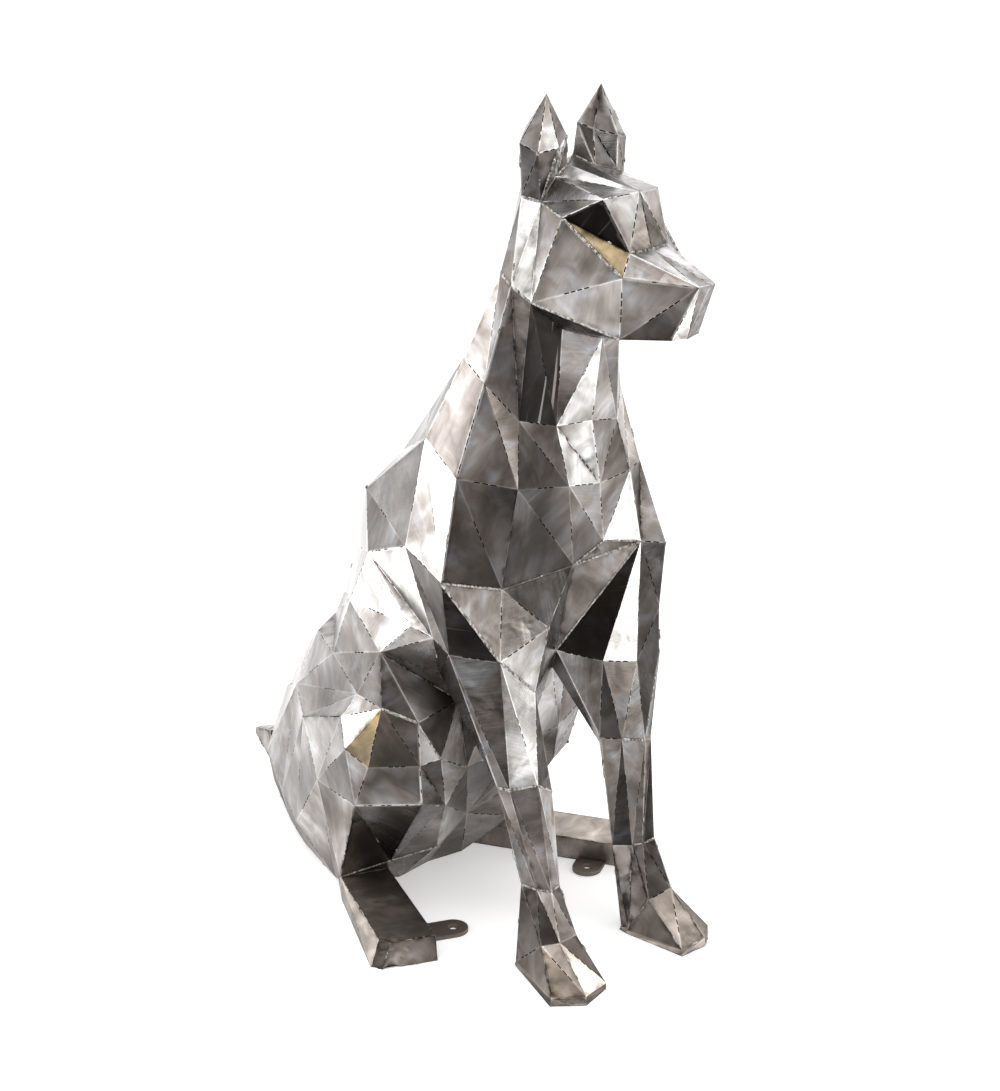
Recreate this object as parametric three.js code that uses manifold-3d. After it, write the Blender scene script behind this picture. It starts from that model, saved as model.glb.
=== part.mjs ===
// Seated guard dog, about life size, welded up from flat cut plates of sheet steel.
// Millimetres, +Z up. The dog faces -Y, its own right side is -X, and its feet and rump stand on z = 0.
import * as THREE from "three";
import { ConvexGeometry } from "three/addons/geometries/ConvexGeometry.js";
import { mergeVertices } from "three/addons/utils/BufferGeometryUtils.js";
import Module from "manifold-3d";

const wasm = await Module();
wasm.setup();

// ---------------------------------------------------------------- sizes
const SIDE_RIGHT = { suffix: "_r", sign: -1 };
const SIDE_LEFT = { suffix: "_l", sign: 1 };
// A hind foot is a folded box that is wider at its sole. "hidden" is its length inside the shin.
const FOOT = {
  length: 174, width: 66, height: 30, hidden: 60,
  taper: 12, cornerCut: 11, frontLean: 8, flare: 12,
};
// Where the inner rear corner of each foot is, how far the foot turns out, and where and how long its lug is.
const FOOT_RIGHT = { side: SIDE_RIGHT, out: 80, forward: -102, splay: 23, lugAlong: 112, lugLength: 56 };
const FOOT_LEFT = { side: SIDE_LEFT, out: 94, forward: -90, splay: 30, lugAlong: 108, lugLength: 36 };
const LUG = { width: 36, thickness: 5, hole: 11, arcSteps: 12 };
// The tail stub is a tapered box between two points, each [forward, up].
const TAIL = { root: [-425, 60], rootWidth: 34, rootHeight: 46, tip: [-476, 62], tipWidth: 10, tipHeight: 8 };
const GAP = 0.3; // between each lug and the foot it is welded to
const SAME_POINT = 1e-3;

// ---------------------------------------------------------------- corners of the shell
// Every corner is [out from the middle, forward, up]; a corner on the middle line is [forward, up].
// "pairs" are the same on both sides. "right" and "left" differ, as the hand-set plates do.
const pairs = {
  // head
  brow: [40, 201, 904],
  stop: [28, 229, 851],
  noseTop: [12, 313, 829],
  noseBase: [20, 284, 768],
  cheek: [45, 236, 829],
  jaw: [35, 224, 759],
  jawBack: [60, 115, 780],
  temple: [64, 166, 882],
  collarSide: [66, 91, 795],
  collarBack: [58, 65, 803],
  // back and flank
  neckBack: [82, 32, 706],
  witherSide: [110, 0, 613],
  backEdge: [60, -166, 499],
  flankTop: [120, -91, 455],
  flankLow: [115, -132, 382],
  // haunch
  hipTop: [115, -166, 305],
  hipBack: [60, -265, 287],
  hipLow: [80, -284, 216],
  hipSide: [110, -234, 198],
  thighBack: [145, -85, 288],
  kneeTop: [160, -23, 295],
  kneeBack: [160, -97, 260],
  kneeLow: [168, -81, 226],
  groinTop: [85, 23, 298],
  shinBack: [155, -81, 149],
  hockFront: [88, -98, 47],
  hockInner: [60, -45, 77],
  hockOuter: [140, -131, 30],
  rumpSide: [140, -171, 146],
  rumpLow: [110, -254, 48],
  rumpBack: [80, -321, 56],
  rumpTail: [60, -375, 89],
  baseBack: [57, -335, 0],
  baseSide: [82, -275, 0],
  baseHock: [110, -178, 0],
  baseFront: [50, -127, 0],
};
const right = {
  // ear: foot ring, middle ring, tip
  earOuter: [66, 106, 894],
  earFront: [50, 119, 888],
  earInFront: [30, 120, 912],
  earInner: [13, 120, 922],
  earBack: [42, 82, 906],
  earOuterMid: [70, 107, 951],
  earFrontMid: [50, 114, 938],
  earInFrontMid: [22, 116, 940],
  earInnerMid: [6, 112, 951],
  earBackMid: [40, 84, 960],
  earTip: [39, 115, 1000],
  // neck, chest and shoulder
  shoulder: [140, -1, 493],
  ridgeTop: [90, 75, 688],
  ridgeMid: [122, 65, 585],
  ridgeLow: [145, 65, 470],
  frontTop: [50, 86, 640],
  frontMid: [60, 96, 566],
  frontLow: [65, 75, 444],
  flankKnee: [145, -42, 354],
  shoulderLow: [140, 6, 400],
  shoulderTip: [130, 33, 391],
  legOuter: [125, 54, 376],
  legFront: [88, 98, 370],
  legInner: [42, 106, 323],
  legBackInner: [45, 40, 300],
  legBackOuter: [105, 15, 335],
  // front of the haunch
  kneeFront: [140, 18, 285],
  kneeInner: [120, 33, 239],
  kneeFoot: [155, -55, 208],
  shinTop: [140, 20, 232],
  shinFront: [135, 17, 180],
  shinInner: [95, 12, 164],
  groinLow: [75, 27, 212],
};
const left = {
  // ear
  earOuter: [66, 124, 902],
  earFront: [52, 127, 909],
  earInFront: [30, 116, 914],
  earInner: [10, 103, 926],
  earBack: [42, 84, 908],
  earOuterMid: [70, 123, 940],
  earFrontMid: [55, 125, 944],
  earInFrontMid: [35, 108, 951],
  earInnerMid: [12, 107, 961],
  earBackMid: [42, 84, 960],
  earTip: [39, 115, 1000],
  // neck, chest and shoulder
  shoulder: [150, 0, 490],
  ridgeThroat: [38, 150, 727],
  ridgeTop: [90, 95, 614],
  ridgeMid: [112, 95, 548],
  ridgeLow: [148, 79, 448],
  frontThroat: [5, 157, 738],
  frontTop: [40, 107, 626],
  frontMid: [70, 90, 541],
  frontLow: [100, 66, 457],
  outerTop: [108, 82, 645],
  outerMid: [135, 88, 553],
  outerLow: [170, 99, 446],
  outerElbow: [155, 105, 372],
  flankKnee: [145, -42, 354],
  shoulderLow: [145, 6, 400],
  shoulderTip: [145, 33, 391],
  legOuter: [145, 117, 324],
  legFront: [118, 106, 314],
  legInFront: [75, 94, 323],
  legBackInner: [55, 30, 300],
  legBackOuter: [125, 30, 335],
  // front of the haunch
  kneeFront: [138, 8, 285],
  kneeInner: [112, 20, 238],
  kneeFoot: [150, -60, 208],
  shinTop: [135, 0, 230],
  shinFront: [122, -12, 168],
  shinInner: [88, -2, 160],
  groinLow: [75, 20, 215],
};
const middle = {
  browMid: [214, 908],
  stopMid: [233, 851],
  noseTopMid: [318, 831],
  noseBaseMid: [286, 766],
  crownBack: [60, 900],
  nape: [20, 790],
  neckSpine: [-55, 672],
  withers: [-121, 591],
  withersLow: [-172, 528],
  backTop: [-238, 465],
  backMid: [-260, 384],
  backLow: [-286, 317],
  loin: [-305, 282],
  rump: [-359, 227],
  croup: [-409, 149],
  tailSet: [-440, 80],
  rumpKeel: [-457, 38],
  baseKeel: [-445, 0],
  baseGroin: [-134, 0],
  groinMid: [-60, 95],
  bellyMid: [40, 225],
};
// Single corners on the middle column of the chest, which wanders across the middle line.
const chest = {
  throat: [-22, 123, 746],
  neckFront: [5, 87, 622],
  chestFront: [25, 87, 547],
  chestLow: [50, 69, 441],
  keel: [25, 68, 343],
  keelNear: [-10, 93, 388],
};

// Foreleg rings from the elbow down: outer, front outer, front inner, inner, back inner, back outer.
const legRight = {
  elbow: [[108, 115, 229], [99, 126, 227], [66, 137, 226], [46, 140, 213], [56, 104, 205], [78, 88, 212]],
  ankle: [[96, 142, 114], [84, 155, 108], [66, 160, 101], [50, 157, 103], [58, 128, 98], [76, 122, 102]],
  paw: [[92, 129, 8], [97, 177, 50], [80, 190, 53], [57, 193, 56], [50, 152, 30], [66, 121, 18]],
  tread: [[91, 126, 3], [121, 219, 9], [88, 242, 10], [47, 232, 7], [47, 151, 4], [65, 119, 4]],
  ground: [[89, 124, 0], [122, 219, 0], [90, 245, 0], [48, 233, 0], [46, 150, 0], [64, 118, 0]],
};
const legLeft = {
  elbow: [[120, 130, 224], [108, 132, 226], [80, 122, 232], [55, 111, 238], [84, 80, 212], [108, 88, 210]],
  ankle: [[95, 164, 115], [84, 156, 109], [72, 150, 108], [52, 137, 110], [76, 116, 100], [92, 128, 103]],
  paw: [[112, 178, 48], [95, 192, 61], [68, 183, 51], [58, 160, 8], [60, 146, 5], [86, 132, 12]],
  tread: [[128, 222, 12], [103, 241, 12], [68, 239, 8], [58, 158, 4], [59, 146, 3], [86, 131, 4]],
  ground: [[132, 220, 0], [106, 241, 0], [67, 240, 0], [57, 157, 0], [58, 145, 0], [86, 130, 0]],
};
const legTopRight = ["legOuter", "legFront", "legInner", "legInner", "legBackInner", "legBackOuter"];
const legTopLeft = ["legOuter", "legFront", "legInFront", "keel", "legBackInner", "legBackOuter"];

// ---------------------------------------------------------------- plates of the shell
// Each plate names its corners in order round its edge, and is split from its first corner.
const platesBothSides = [
  // head
  "browMid brow stop stopMid",
  "brow temple stop",
  "temple stop cheek",
  "temple cheek jawBack",
  "stop noseTop cheek",
  "cheek noseTop jaw",
  "noseTop noseBase jaw",
  "cheek jaw jawBack",
  "noseTop noseTopMid noseBaseMid noseBase",
  "earInFront brow earFront",
  "brow temple earFront",
  "browMid brow earInFront",
  "earFront earOuter collarSide",
  "earFront temple jawBack collarSide",
  "earOuter collarBack collarSide",
  "earOuter earBack collarBack",
  "earBack crownBack nape",
  "earBack nape collarBack",
  "earBack earInner crownBack",
  // ear
  "earOuter earFront earFrontMid earOuterMid",
  "earFront earInFront earInFrontMid earFrontMid",
  "earInFront earInner earInnerMid earInFrontMid",
  "earInner earBack earBackMid earInnerMid",
  "earBack earOuter earOuterMid earBackMid",
  "earTip earOuterMid earFrontMid",
  "earTip earFrontMid earInFrontMid",
  "earTip earInFrontMid earInnerMid",
  "earTip earInnerMid earBackMid",
  "earTip earBackMid earOuterMid",
  // neck and back
  "nape collarBack neckBack",
  "nape neckBack neckSpine",
  "neckSpine neckBack withers",
  "withers neckBack witherSide",
  "withers witherSide withersLow",
  "withersLow witherSide backEdge",
  "withersLow backEdge backTop",
  "witherSide shoulder backEdge",
  "backEdge shoulder flankTop",
  "backTop backEdge backMid",
  "backMid backEdge flankTop",
  "backMid flankTop flankLow",
  "backMid flankLow backLow",
  "backLow flankLow loin",
  "loin flankLow hipTop",
  // shoulder and flank
  "flankTop shoulder shoulderTip",
  "flankTop shoulderTip shoulderLow",
  "flankTop shoulderLow flankLow",
  "flankLow shoulderLow flankKnee",
  "flankLow flankKnee hipTop",
  "flankKnee shoulderLow shoulderTip",
  // haunch
  "loin hipTop hipBack",
  "hipBack hipTop hipLow",
  "hipTop flankKnee thighBack",
  "hipTop thighBack hipLow",
  "hipLow thighBack hipSide",
  "flankKnee kneeTop thighBack",
  "thighBack kneeTop kneeBack",
  "kneeBack kneeTop kneeLow",
  "kneeLow kneeTop kneeFoot",
  "kneeTop kneeFront shinTop kneeFoot",
  "flankKnee kneeFront kneeTop",
  "flankKnee groinTop kneeFront",
  "kneeFront groinTop kneeInner",
  "kneeFront kneeInner shinTop",
  "groinTop groinLow kneeInner",
  "kneeInner groinLow shinInner",
  "kneeInner shinInner shinTop",
  "shinTop shinInner shinFront",
  "kneeFoot shinTop shinFront",
  "kneeFoot shinFront shinBack",
  "kneeLow kneeFoot shinBack",
  "shinBack shinFront hockFront",
  "shinFront shinInner hockFront",
  "shinInner hockInner hockFront",
  "shinBack hockFront hockOuter",
  "thighBack kneeBack hipSide",
  "hipSide kneeBack rumpSide",
  "kneeBack kneeLow rumpSide",
  "kneeLow shinBack rumpSide",
  "rumpSide shinBack hockOuter",
  "rumpSide hockOuter baseHock",
  "rumpSide baseHock rumpLow",
  "hipSide rumpSide rumpLow",
  "hipSide rumpLow rumpBack",
  "hipLow hipSide rumpBack",
  "hipLow rumpBack rumpTail",
  "hipBack hipLow rump",
  "loin hipBack rump",
  "rump hipLow croup",
  "croup hipLow rumpTail",
  "croup rumpTail tailSet",
  "tailSet rumpTail rumpKeel",
  "rumpTail rumpBack baseBack",
  "rumpTail baseBack rumpKeel",
  "rumpKeel baseBack baseKeel",
  "rumpBack rumpLow baseSide",
  "rumpBack baseSide baseBack",
  "rumpLow baseHock baseSide",
  // underneath
  "hockOuter hockFront baseFront baseHock",
  "hockFront hockInner baseFront",
  "hockInner groinMid baseFront",
  "baseFront groinMid baseGroin",
  "shinInner groinMid hockInner",
  "groinLow groinMid shinInner",
  "groinLow bellyMid groinMid",
  "baseKeel baseBack baseSide baseHock baseFront baseGroin",
];
const platesRight = [
  // throat under the jaw
  "jawBack jaw throat",
  // neck: back panel, ridge panel, front panel
  "collarBack collarSide ridgeTop",
  "collarBack ridgeTop neckBack",
  "neckBack ridgeTop ridgeMid",
  "neckBack ridgeMid witherSide",
  "witherSide ridgeMid ridgeLow",
  "witherSide ridgeLow shoulder",
  "collarSide jawBack frontTop",
  "collarSide frontTop ridgeTop",
  "ridgeTop frontTop frontMid",
  "ridgeTop frontMid ridgeMid",
  "ridgeMid frontMid frontLow",
  "ridgeMid frontLow ridgeLow",
  "jawBack throat neckFront",
  "jawBack neckFront frontTop",
  "frontTop neckFront chestFront",
  "frontTop chestFront frontMid",
  "frontMid chestFront chestLow",
  "frontMid chestLow frontLow",
  // shoulder down to the leg
  "shoulder ridgeLow legOuter",
  "shoulder legOuter shoulderTip",
  "ridgeLow legFront legOuter",
  "ridgeLow frontLow legFront",
  "frontLow chestLow keelNear",
  "frontLow keelNear legFront",
  "legFront keelNear legInner",
  "keelNear keel legInner",
  "chestLow keel keelNear",
  "shoulderTip legOuter legBackOuter",
  "flankKnee shoulderTip legBackOuter",
  "flankKnee legBackOuter groinTop",
  "legBackOuter legBackInner groinTop",
  "groinTop legBackInner groinLow",
  "legBackInner bellyMid groinLow",
  "legInner keel bellyMid",
  "legInner bellyMid legBackInner",
];
const platesLeft = [
  "jaw jawBack ridgeThroat",
  "jaw ridgeThroat frontThroat",
  "frontThroat throat neckFront",
  "frontThroat neckFront frontTop",
  "neckFront chestFront frontMid",
  "neckFront frontMid frontTop",
  "chestFront chestLow frontLow",
  "chestFront frontLow frontMid",
  "frontThroat frontTop ridgeTop",
  "frontThroat ridgeTop ridgeThroat",
  "frontTop frontMid ridgeTop",
  "ridgeTop frontMid ridgeMid",
  "frontMid frontLow ridgeMid",
  "ridgeMid frontLow ridgeLow",
  "jawBack ridgeThroat ridgeTop",
  "jawBack ridgeTop outerTop",
  "outerTop ridgeTop ridgeMid",
  "outerTop ridgeMid outerMid",
  "outerMid ridgeMid ridgeLow",
  "outerMid ridgeLow outerLow",
  "jawBack outerTop collarSide",
  "collarSide outerTop neckBack",
  "collarSide neckBack collarBack",
  "neckBack outerTop outerMid",
  "neckBack outerMid witherSide",
  "witherSide outerMid outerLow",
  "witherSide outerLow shoulder",
  // shoulder down to the leg
  "chestLow keel ridgeLow",
  "chestLow ridgeLow frontLow",
  "ridgeLow keel legInFront",
  "ridgeLow legInFront legFront",
  "ridgeLow legFront outerElbow",
  "ridgeLow outerElbow outerLow",
  "outerElbow legFront legOuter",
  "shoulder outerLow shoulderTip",
  "outerLow outerElbow shoulderTip",
  "shoulderTip outerElbow legOuter",
  "shoulderTip legOuter legBackOuter",
  "flankKnee shoulderTip legBackOuter",
  "flankKnee legBackOuter groinTop",
  "legBackOuter legBackInner groinTop",
  "groinTop legBackInner groinLow",
  "legBackInner bellyMid groinLow",
  "keel bellyMid legBackInner",
];
const platesMiddle = [
  "jaw_r jaw_l frontThroat_l",
  "jaw_r frontThroat_l throat",
  "jaw_r noseBase_r noseBaseMid noseBase_l jaw_l",
  "stopMid stop_r noseTop_r noseTopMid noseTop_l stop_l",
  "browMid earInFront_r earInner_r earInner_l earInFront_l",
  "earInner_r crownBack earInner_l",
];

// ---------------------------------------------------------------- building the shell
const corners = new Map();
const place = (name, out, forward, up) => corners.set(name, [out, -forward, up]);
for (const [name, [out, forward, up]] of Object.entries(pairs)) {
  place(name + SIDE_RIGHT.suffix, SIDE_RIGHT.sign * out, forward, up);
  place(name + SIDE_LEFT.suffix, SIDE_LEFT.sign * out, forward, up);
}
for (const [table, { suffix, sign }] of [[right, SIDE_RIGHT], [left, SIDE_LEFT]]) {
  for (const [name, [out, forward, up]] of Object.entries(table)) {
    place(name + suffix, sign * out, forward, up);
  }
}
for (const [name, [forward, up]] of Object.entries(middle)) place(name, 0, forward, up);
for (const [name, [out, forward, up]] of Object.entries(chest)) place(name, out, forward, up);

const triangles = [];
function plate(names) {
  for (let i = 1; i + 1 < names.length; i++) {
    const tri = [names[0], names[i], names[i + 1]];
    if (new Set(tri).size === 3) triangles.push(tri);
  }
}
// A corner name in a plate means the corner of that side, or the one on the middle.
const onSide = (names, { suffix }) => names.split(" ").map((n) => (corners.has(n + suffix) ? n + suffix : n));
for (const names of platesBothSides) {
  plate(onSide(names, SIDE_RIGHT));
  plate(onSide(names, SIDE_LEFT));
}
for (const names of platesRight) plate(onSide(names, SIDE_RIGHT));
for (const names of platesLeft) plate(onSide(names, SIDE_LEFT));
for (const names of platesMiddle) plate(names.split(" "));

// Joins two rings of the same number of corners with a band of triangles.
function band(upper, lower) {
  upper.forEach((a, i) => {
    const j = (i + 1) % upper.length;
    plate([a, upper[j], lower[j]]);
    plate([a, lower[j], lower[i]]);
  });
}
function foreleg(top, rings, side) {
  let above = top.map((n) => onSide(n, side)[0]);
  for (const [level, ring] of Object.entries(rings)) {
    const below = ring.map(([out, forward, up], i) => {
      const name = level + i + side.suffix;
      place(name, side.sign * out, forward, up);
      return name;
    });
    band(above, below);
    above = below;
  }
  plate(above);
}
foreleg(legTopRight, legRight, SIDE_RIGHT);
foreleg(legTopLeft, legLeft, SIDE_LEFT);

// Turns every triangle the same way round as its neighbours, then the whole shell outwards.
function closedSolid(tris) {
  const byEdge = new Map();
  tris.forEach((t, k) => {
    for (let i = 0; i < 3; i++) {
      const key = [t[i], t[(i + 1) % 3]].sort().join("|");
      byEdge.set(key, [...(byEdge.get(key) ?? []), k]);
    }
  });
  const open = [...byEdge].filter(([, users]) => users.length !== 2);
  if (open.length) throw new Error("edges not shared by two plates: " + open.map(([key]) => key).join(", "));
  const done = new Set([0]);
  const queue = [0];
  while (queue.length) {
    const t = tris[queue.pop()];
    for (let i = 0; i < 3; i++) {
      const [a, b] = [t[i], t[(i + 1) % 3]];
      for (const k of byEdge.get([a, b].sort().join("|"))) {
        if (done.has(k)) continue;
        const n = tris[k];
        const sameWay = [0, 1, 2].some((j) => n[j] === a && n[(j + 1) % 3] === b);
        if (sameWay) n.reverse();
        done.add(k);
        queue.push(k);
      }
    }
  }
  const names = [...new Set(tris.flat())];
  const index = new Map(names.map((n, i) => [n, i]));
  const points = names.map((n) => corners.get(n));
  const volume = tris.reduce((sum, t) => {
    const [a, b, c] = t.map((n) => new THREE.Vector3(...corners.get(n)));
    return sum + a.dot(b.cross(c));
  }, 0);
  if (volume < 0) tris.forEach((t) => t.reverse());
  return new wasm.Manifold(new wasm.Mesh({
    numProp: 3,
    vertProperties: new Float32Array(points.flat()),
    triVerts: new Uint32Array(tris.flat().map((n) => index.get(n))),
  }));
}
const shell = closedSolid(triangles);

// A manifold solid from a three.js geometry that has no index.
function solid(geometry) {
  const bare = new THREE.BufferGeometry();
  bare.setAttribute("position", geometry.getAttribute("position"));
  const merged = mergeVertices(bare, SAME_POINT);
  return new wasm.Manifold(new wasm.Mesh({
    numProp: 3,
    vertProperties: new Float32Array(merged.getAttribute("position").array),
    triVerts: new Uint32Array(merged.index.array),
  }));
}

// ---------------------------------------------------------------- hind feet, tail stub and fixing lugs
// A point in a foot's plan, "along" towards its toe and "across" outwards from its inner rear corner.
function footPoint(foot, along, across, up) {
  const turn = THREE.MathUtils.degToRad(foot.splay);
  const out = foot.out + along * Math.sin(turn) + across * Math.cos(turn);
  const forward = foot.forward + along * Math.cos(turn) - across * Math.sin(turn);
  return new THREE.Vector3(foot.side.sign * out, -forward, up);
}
function hindFoot(foot) {
  const { length, width, height, hidden, taper, cornerCut, frontLean, flare } = FOOT;
  const levels = [
    { up: 0, front: length, outer: width + flare },
    { up: height, front: length - frontLean, outer: width },
  ];
  const points = levels.flatMap(({ up, front, outer }) => [
    footPoint(foot, -hidden, taper / 2, up),
    footPoint(foot, -hidden, width - taper, up),
    footPoint(foot, 0, width, up),
    footPoint(foot, front - cornerCut, outer, up),
    footPoint(foot, front, outer - cornerCut, up),
    footPoint(foot, front, 0, up),
  ]);
  return solid(new ConvexGeometry(points));
}
function tailStub() {
  const points = [];
  const ends = [
    [TAIL.root, TAIL.rootWidth, TAIL.rootHeight],
    [TAIL.tip, TAIL.tipWidth, TAIL.tipHeight],
  ];
  for (const [[forward, up], width, height] of ends) {
    for (const x of [-1, 1]) {
      for (const z of [-1, 1]) {
        points.push(new THREE.Vector3((x * width) / 2, -forward, up + (z * height) / 2));
      }
    }
  }
  return solid(new ConvexGeometry(points));
}
// A flat bar with a round end and a bolt hole, lying on the ground beside the inner face of a foot.
function lug(foot) {
  const half = LUG.width / 2;
  const shape = new THREE.Shape();
  const holeCentre = foot.lugLength - half;
  shape.moveTo(GAP, -half);
  shape.lineTo(holeCentre, -half);
  shape.absarc(holeCentre, 0, half, -Math.PI / 2, Math.PI / 2, false);
  shape.lineTo(GAP, half);
  shape.closePath();
  const hole = new THREE.Path();
  hole.absarc(holeCentre, 0, LUG.hole / 2, 0, 2 * Math.PI, true);
  shape.holes.push(hole);
  const bar = new THREE.ExtrudeGeometry(shape, {
    depth: LUG.thickness, bevelEnabled: false, curveSegments: LUG.arcSteps,
  });
  const turn = THREE.MathUtils.degToRad(foot.splay);
  // The bar points square away from the inner face of the foot.
  bar.rotateZ(foot.side === SIDE_RIGHT ? -turn : Math.PI + turn);
  bar.translate(...footPoint(foot, foot.lugAlong, 0, 0).toArray());
  return solid(bar);
}

const body = shell.add(hindFoot(FOOT_RIGHT)).add(hindFoot(FOOT_LEFT)).add(tailStub());
// The origin is on the ground, in the middle of the dog's length and width.
const { min, max } = body.boundingBox();
const toOrigin = [-(min[0] + max[0]) / 2, -(min[1] + max[1]) / 2, 0];

// ---------------------------------------------------------------- nodes
function meshOf(name, made, color, roughness, metalness) {
  const m = made.getMesh();
  const geometry = new THREE.BufferGeometry();
  geometry.setAttribute("position", new THREE.BufferAttribute(new Float32Array(m.vertProperties), 3));
  geometry.setIndex(new THREE.BufferAttribute(new Uint32Array(m.triVerts), 1));
  geometry.computeVertexNormals();
  geometry.translate(...toOrigin);
  const mesh = new THREE.Mesh(geometry, new THREE.MeshStandardMaterial({ color, roughness, metalness }));
  mesh.name = name;
  return mesh;
}
const group = new THREE.Group();
group.add(meshOf("dog_body", body, 0x8e8a85, 0.35, 1));
group.add(meshOf("fixing_lug_right", lug(FOOT_RIGHT), 0x4a423d, 0.6, 0.9));
group.add(meshOf("fixing_lug_left", lug(FOOT_LEFT), 0x4a423d, 0.6, 0.9));
export default group;
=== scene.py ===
# %% [markdown]
# # A seated dog, welded up from flat steel plates
# The sculpture is a hollow shell of 2 mm sheet steel. Each flat facet is a plate, or a part of one.
# Where two facets of one plate meet, the sheet is folded along a short row of laser-cut slots.
# Where two plates meet, they are welded, and the weld is ground down until it almost goes.
# The script keeps the exact solid as its frame and gives it the sheet metal detail that shows up close.

# %% Load the frame
import math
import random

import bmesh
import bpy
import numpy as np
from mathutils import Matrix, Vector, noise
from mathutils.bvhtree import BVHTree
from mathutils.geometry import delaunay_2d_cdt, tessellate_polygon


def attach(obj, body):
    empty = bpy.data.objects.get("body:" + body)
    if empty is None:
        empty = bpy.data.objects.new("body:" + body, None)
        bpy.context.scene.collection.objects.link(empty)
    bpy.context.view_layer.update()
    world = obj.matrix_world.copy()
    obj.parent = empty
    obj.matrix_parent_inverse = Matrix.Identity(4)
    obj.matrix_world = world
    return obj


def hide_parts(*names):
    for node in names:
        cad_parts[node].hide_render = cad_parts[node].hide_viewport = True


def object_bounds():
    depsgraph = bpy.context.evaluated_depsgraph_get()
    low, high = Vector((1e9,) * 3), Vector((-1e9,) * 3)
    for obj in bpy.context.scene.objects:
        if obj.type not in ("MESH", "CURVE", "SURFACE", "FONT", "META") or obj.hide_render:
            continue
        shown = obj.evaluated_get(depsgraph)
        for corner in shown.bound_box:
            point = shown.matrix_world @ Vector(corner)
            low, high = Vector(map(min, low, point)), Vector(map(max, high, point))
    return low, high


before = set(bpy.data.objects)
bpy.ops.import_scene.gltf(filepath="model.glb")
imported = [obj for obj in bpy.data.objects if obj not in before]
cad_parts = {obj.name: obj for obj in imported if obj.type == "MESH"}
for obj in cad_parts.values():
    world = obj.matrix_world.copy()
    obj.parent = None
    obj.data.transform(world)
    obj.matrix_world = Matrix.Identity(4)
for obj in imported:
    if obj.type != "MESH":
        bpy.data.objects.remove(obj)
cad_low, cad_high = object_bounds()
MM = 0.001
print("nodes:", sorted(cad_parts))
print("box in mm:", [round(v / MM) for v in cad_low], [round(v / MM) for v in cad_high])

# %% [markdown]
# ## Where things are on the dog
# A sculptor measures an animal from its middle line, so places are written here as
# (out from the middle line, forward, up), in millimetres. The nose gives the middle line, because it is
# the foremost point and lies on it.

# %% The dog's own measures
NOSE_FORWARD = 318
body_corners = np.array([v.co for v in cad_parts["dog_body"].data.vertices])
nose = body_corners[body_corners[:, 1].argmin()]
middle_x = float(nose[0])
forward_zero_y = float(nose[1]) + NOSE_FORWARD * MM


def place(out, forward, up, side=1):
    """A place on the dog in the frame's metres; side is 1 for the dog's left and -1 for its right."""
    return Vector((middle_x + side * out * MM, forward_zero_y - forward * MM, up * MM))


print("middle line at x", round(middle_x / MM, 1), "mm")

# %% [markdown]
# ## Camera
# A standing person looks down at the dog from its right front. The lens is a short telephoto, about 88 mm
# on a 36 mm wide film, so the ears and the feet keep their true sizes.

# %% Camera
AZIMUTH = math.radians(-42)
PITCH = math.radians(21.15)
DISTANCE = 3.042
LENS = 88.07
camera_target = place(0, 0, 458)
from_target = Vector((
    math.sin(AZIMUTH) * math.cos(PITCH),
    -math.cos(AZIMUTH) * math.cos(PITCH),
    math.sin(PITCH),
))
camera = bpy.data.objects.new("camera", bpy.data.cameras.new("camera"))
camera.data.lens = LENS
camera.data.sensor_width = 36
camera.data.sensor_fit = "AUTO"
camera.data.clip_end = 100
camera.location = camera_target + from_target * DISTANCE
camera.rotation_euler = (-from_target).to_track_quat("-Z", "Y").to_euler()
bpy.context.scene.collection.objects.link(camera)
bpy.context.scene.camera = camera
print("camera height", round(camera.location.z, 2), "m")

# %% [markdown]
# ## Studio
# Bare steel shows the room more than its own colour. A large soft light stands behind the dog's right side,
# so that the plates of that side go nearly white, and the front of the room is kept dimmer, so that the
# breast and the legs stay darker. The floor is plain and pale.

# %% Floor
FLOOR_HALF = 15.0


def material_of(name):
    """A new material with an empty node tree and its output."""
    made = bpy.data.materials.new(name)
    made.use_nodes = True
    made.node_tree.nodes.clear()
    return made


def node(tree, kind, inputs=None, **settings):
    """Adds a node; inputs maps socket names or numbers to plain values or to other sockets."""
    made = tree.nodes.new(kind)
    for key, value in settings.items():
        setattr(made, key, value)
    for key, value in (inputs or {}).items():
        if isinstance(value, bpy.types.NodeSocket):
            tree.links.new(value, made.inputs[key])
        else:
            made.inputs[key].default_value = value
    return made


def mesh_object(name, points, faces):
    mesh = bpy.data.meshes.new(name)
    mesh.from_pydata([tuple(p) for p in points], [], faces)
    made = bpy.data.objects.new(name, mesh)
    bpy.context.scene.collection.objects.link(made)
    return made


floor_corners = [(-FLOOR_HALF, -FLOOR_HALF, 0), (FLOOR_HALF, -FLOOR_HALF, 0)]
floor_corners += [(FLOOR_HALF, FLOOR_HALF, 0), (-FLOOR_HALF, FLOOR_HALF, 0)]
floor = mesh_object("studio_floor", floor_corners, [(0, 1, 2, 3)])
FLOOR_GLOW = 0.4
floor_paint = material_of("pale_floor")
tree = floor_paint.node_tree
paint = node(tree, "ShaderNodeBsdfPrincipled", {
    "Base Color": (0.84, 0.84, 0.84, 1), "Roughness": 0.9, "Specular IOR Level": 0.1,
    "Emission Color": (1, 1, 1, 1), "Emission Strength": FLOOR_GLOW,
})
node(tree, "ShaderNodeOutputMaterial", {"Surface": paint.outputs[0]})
floor.data.materials.append(floor_paint)

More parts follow.
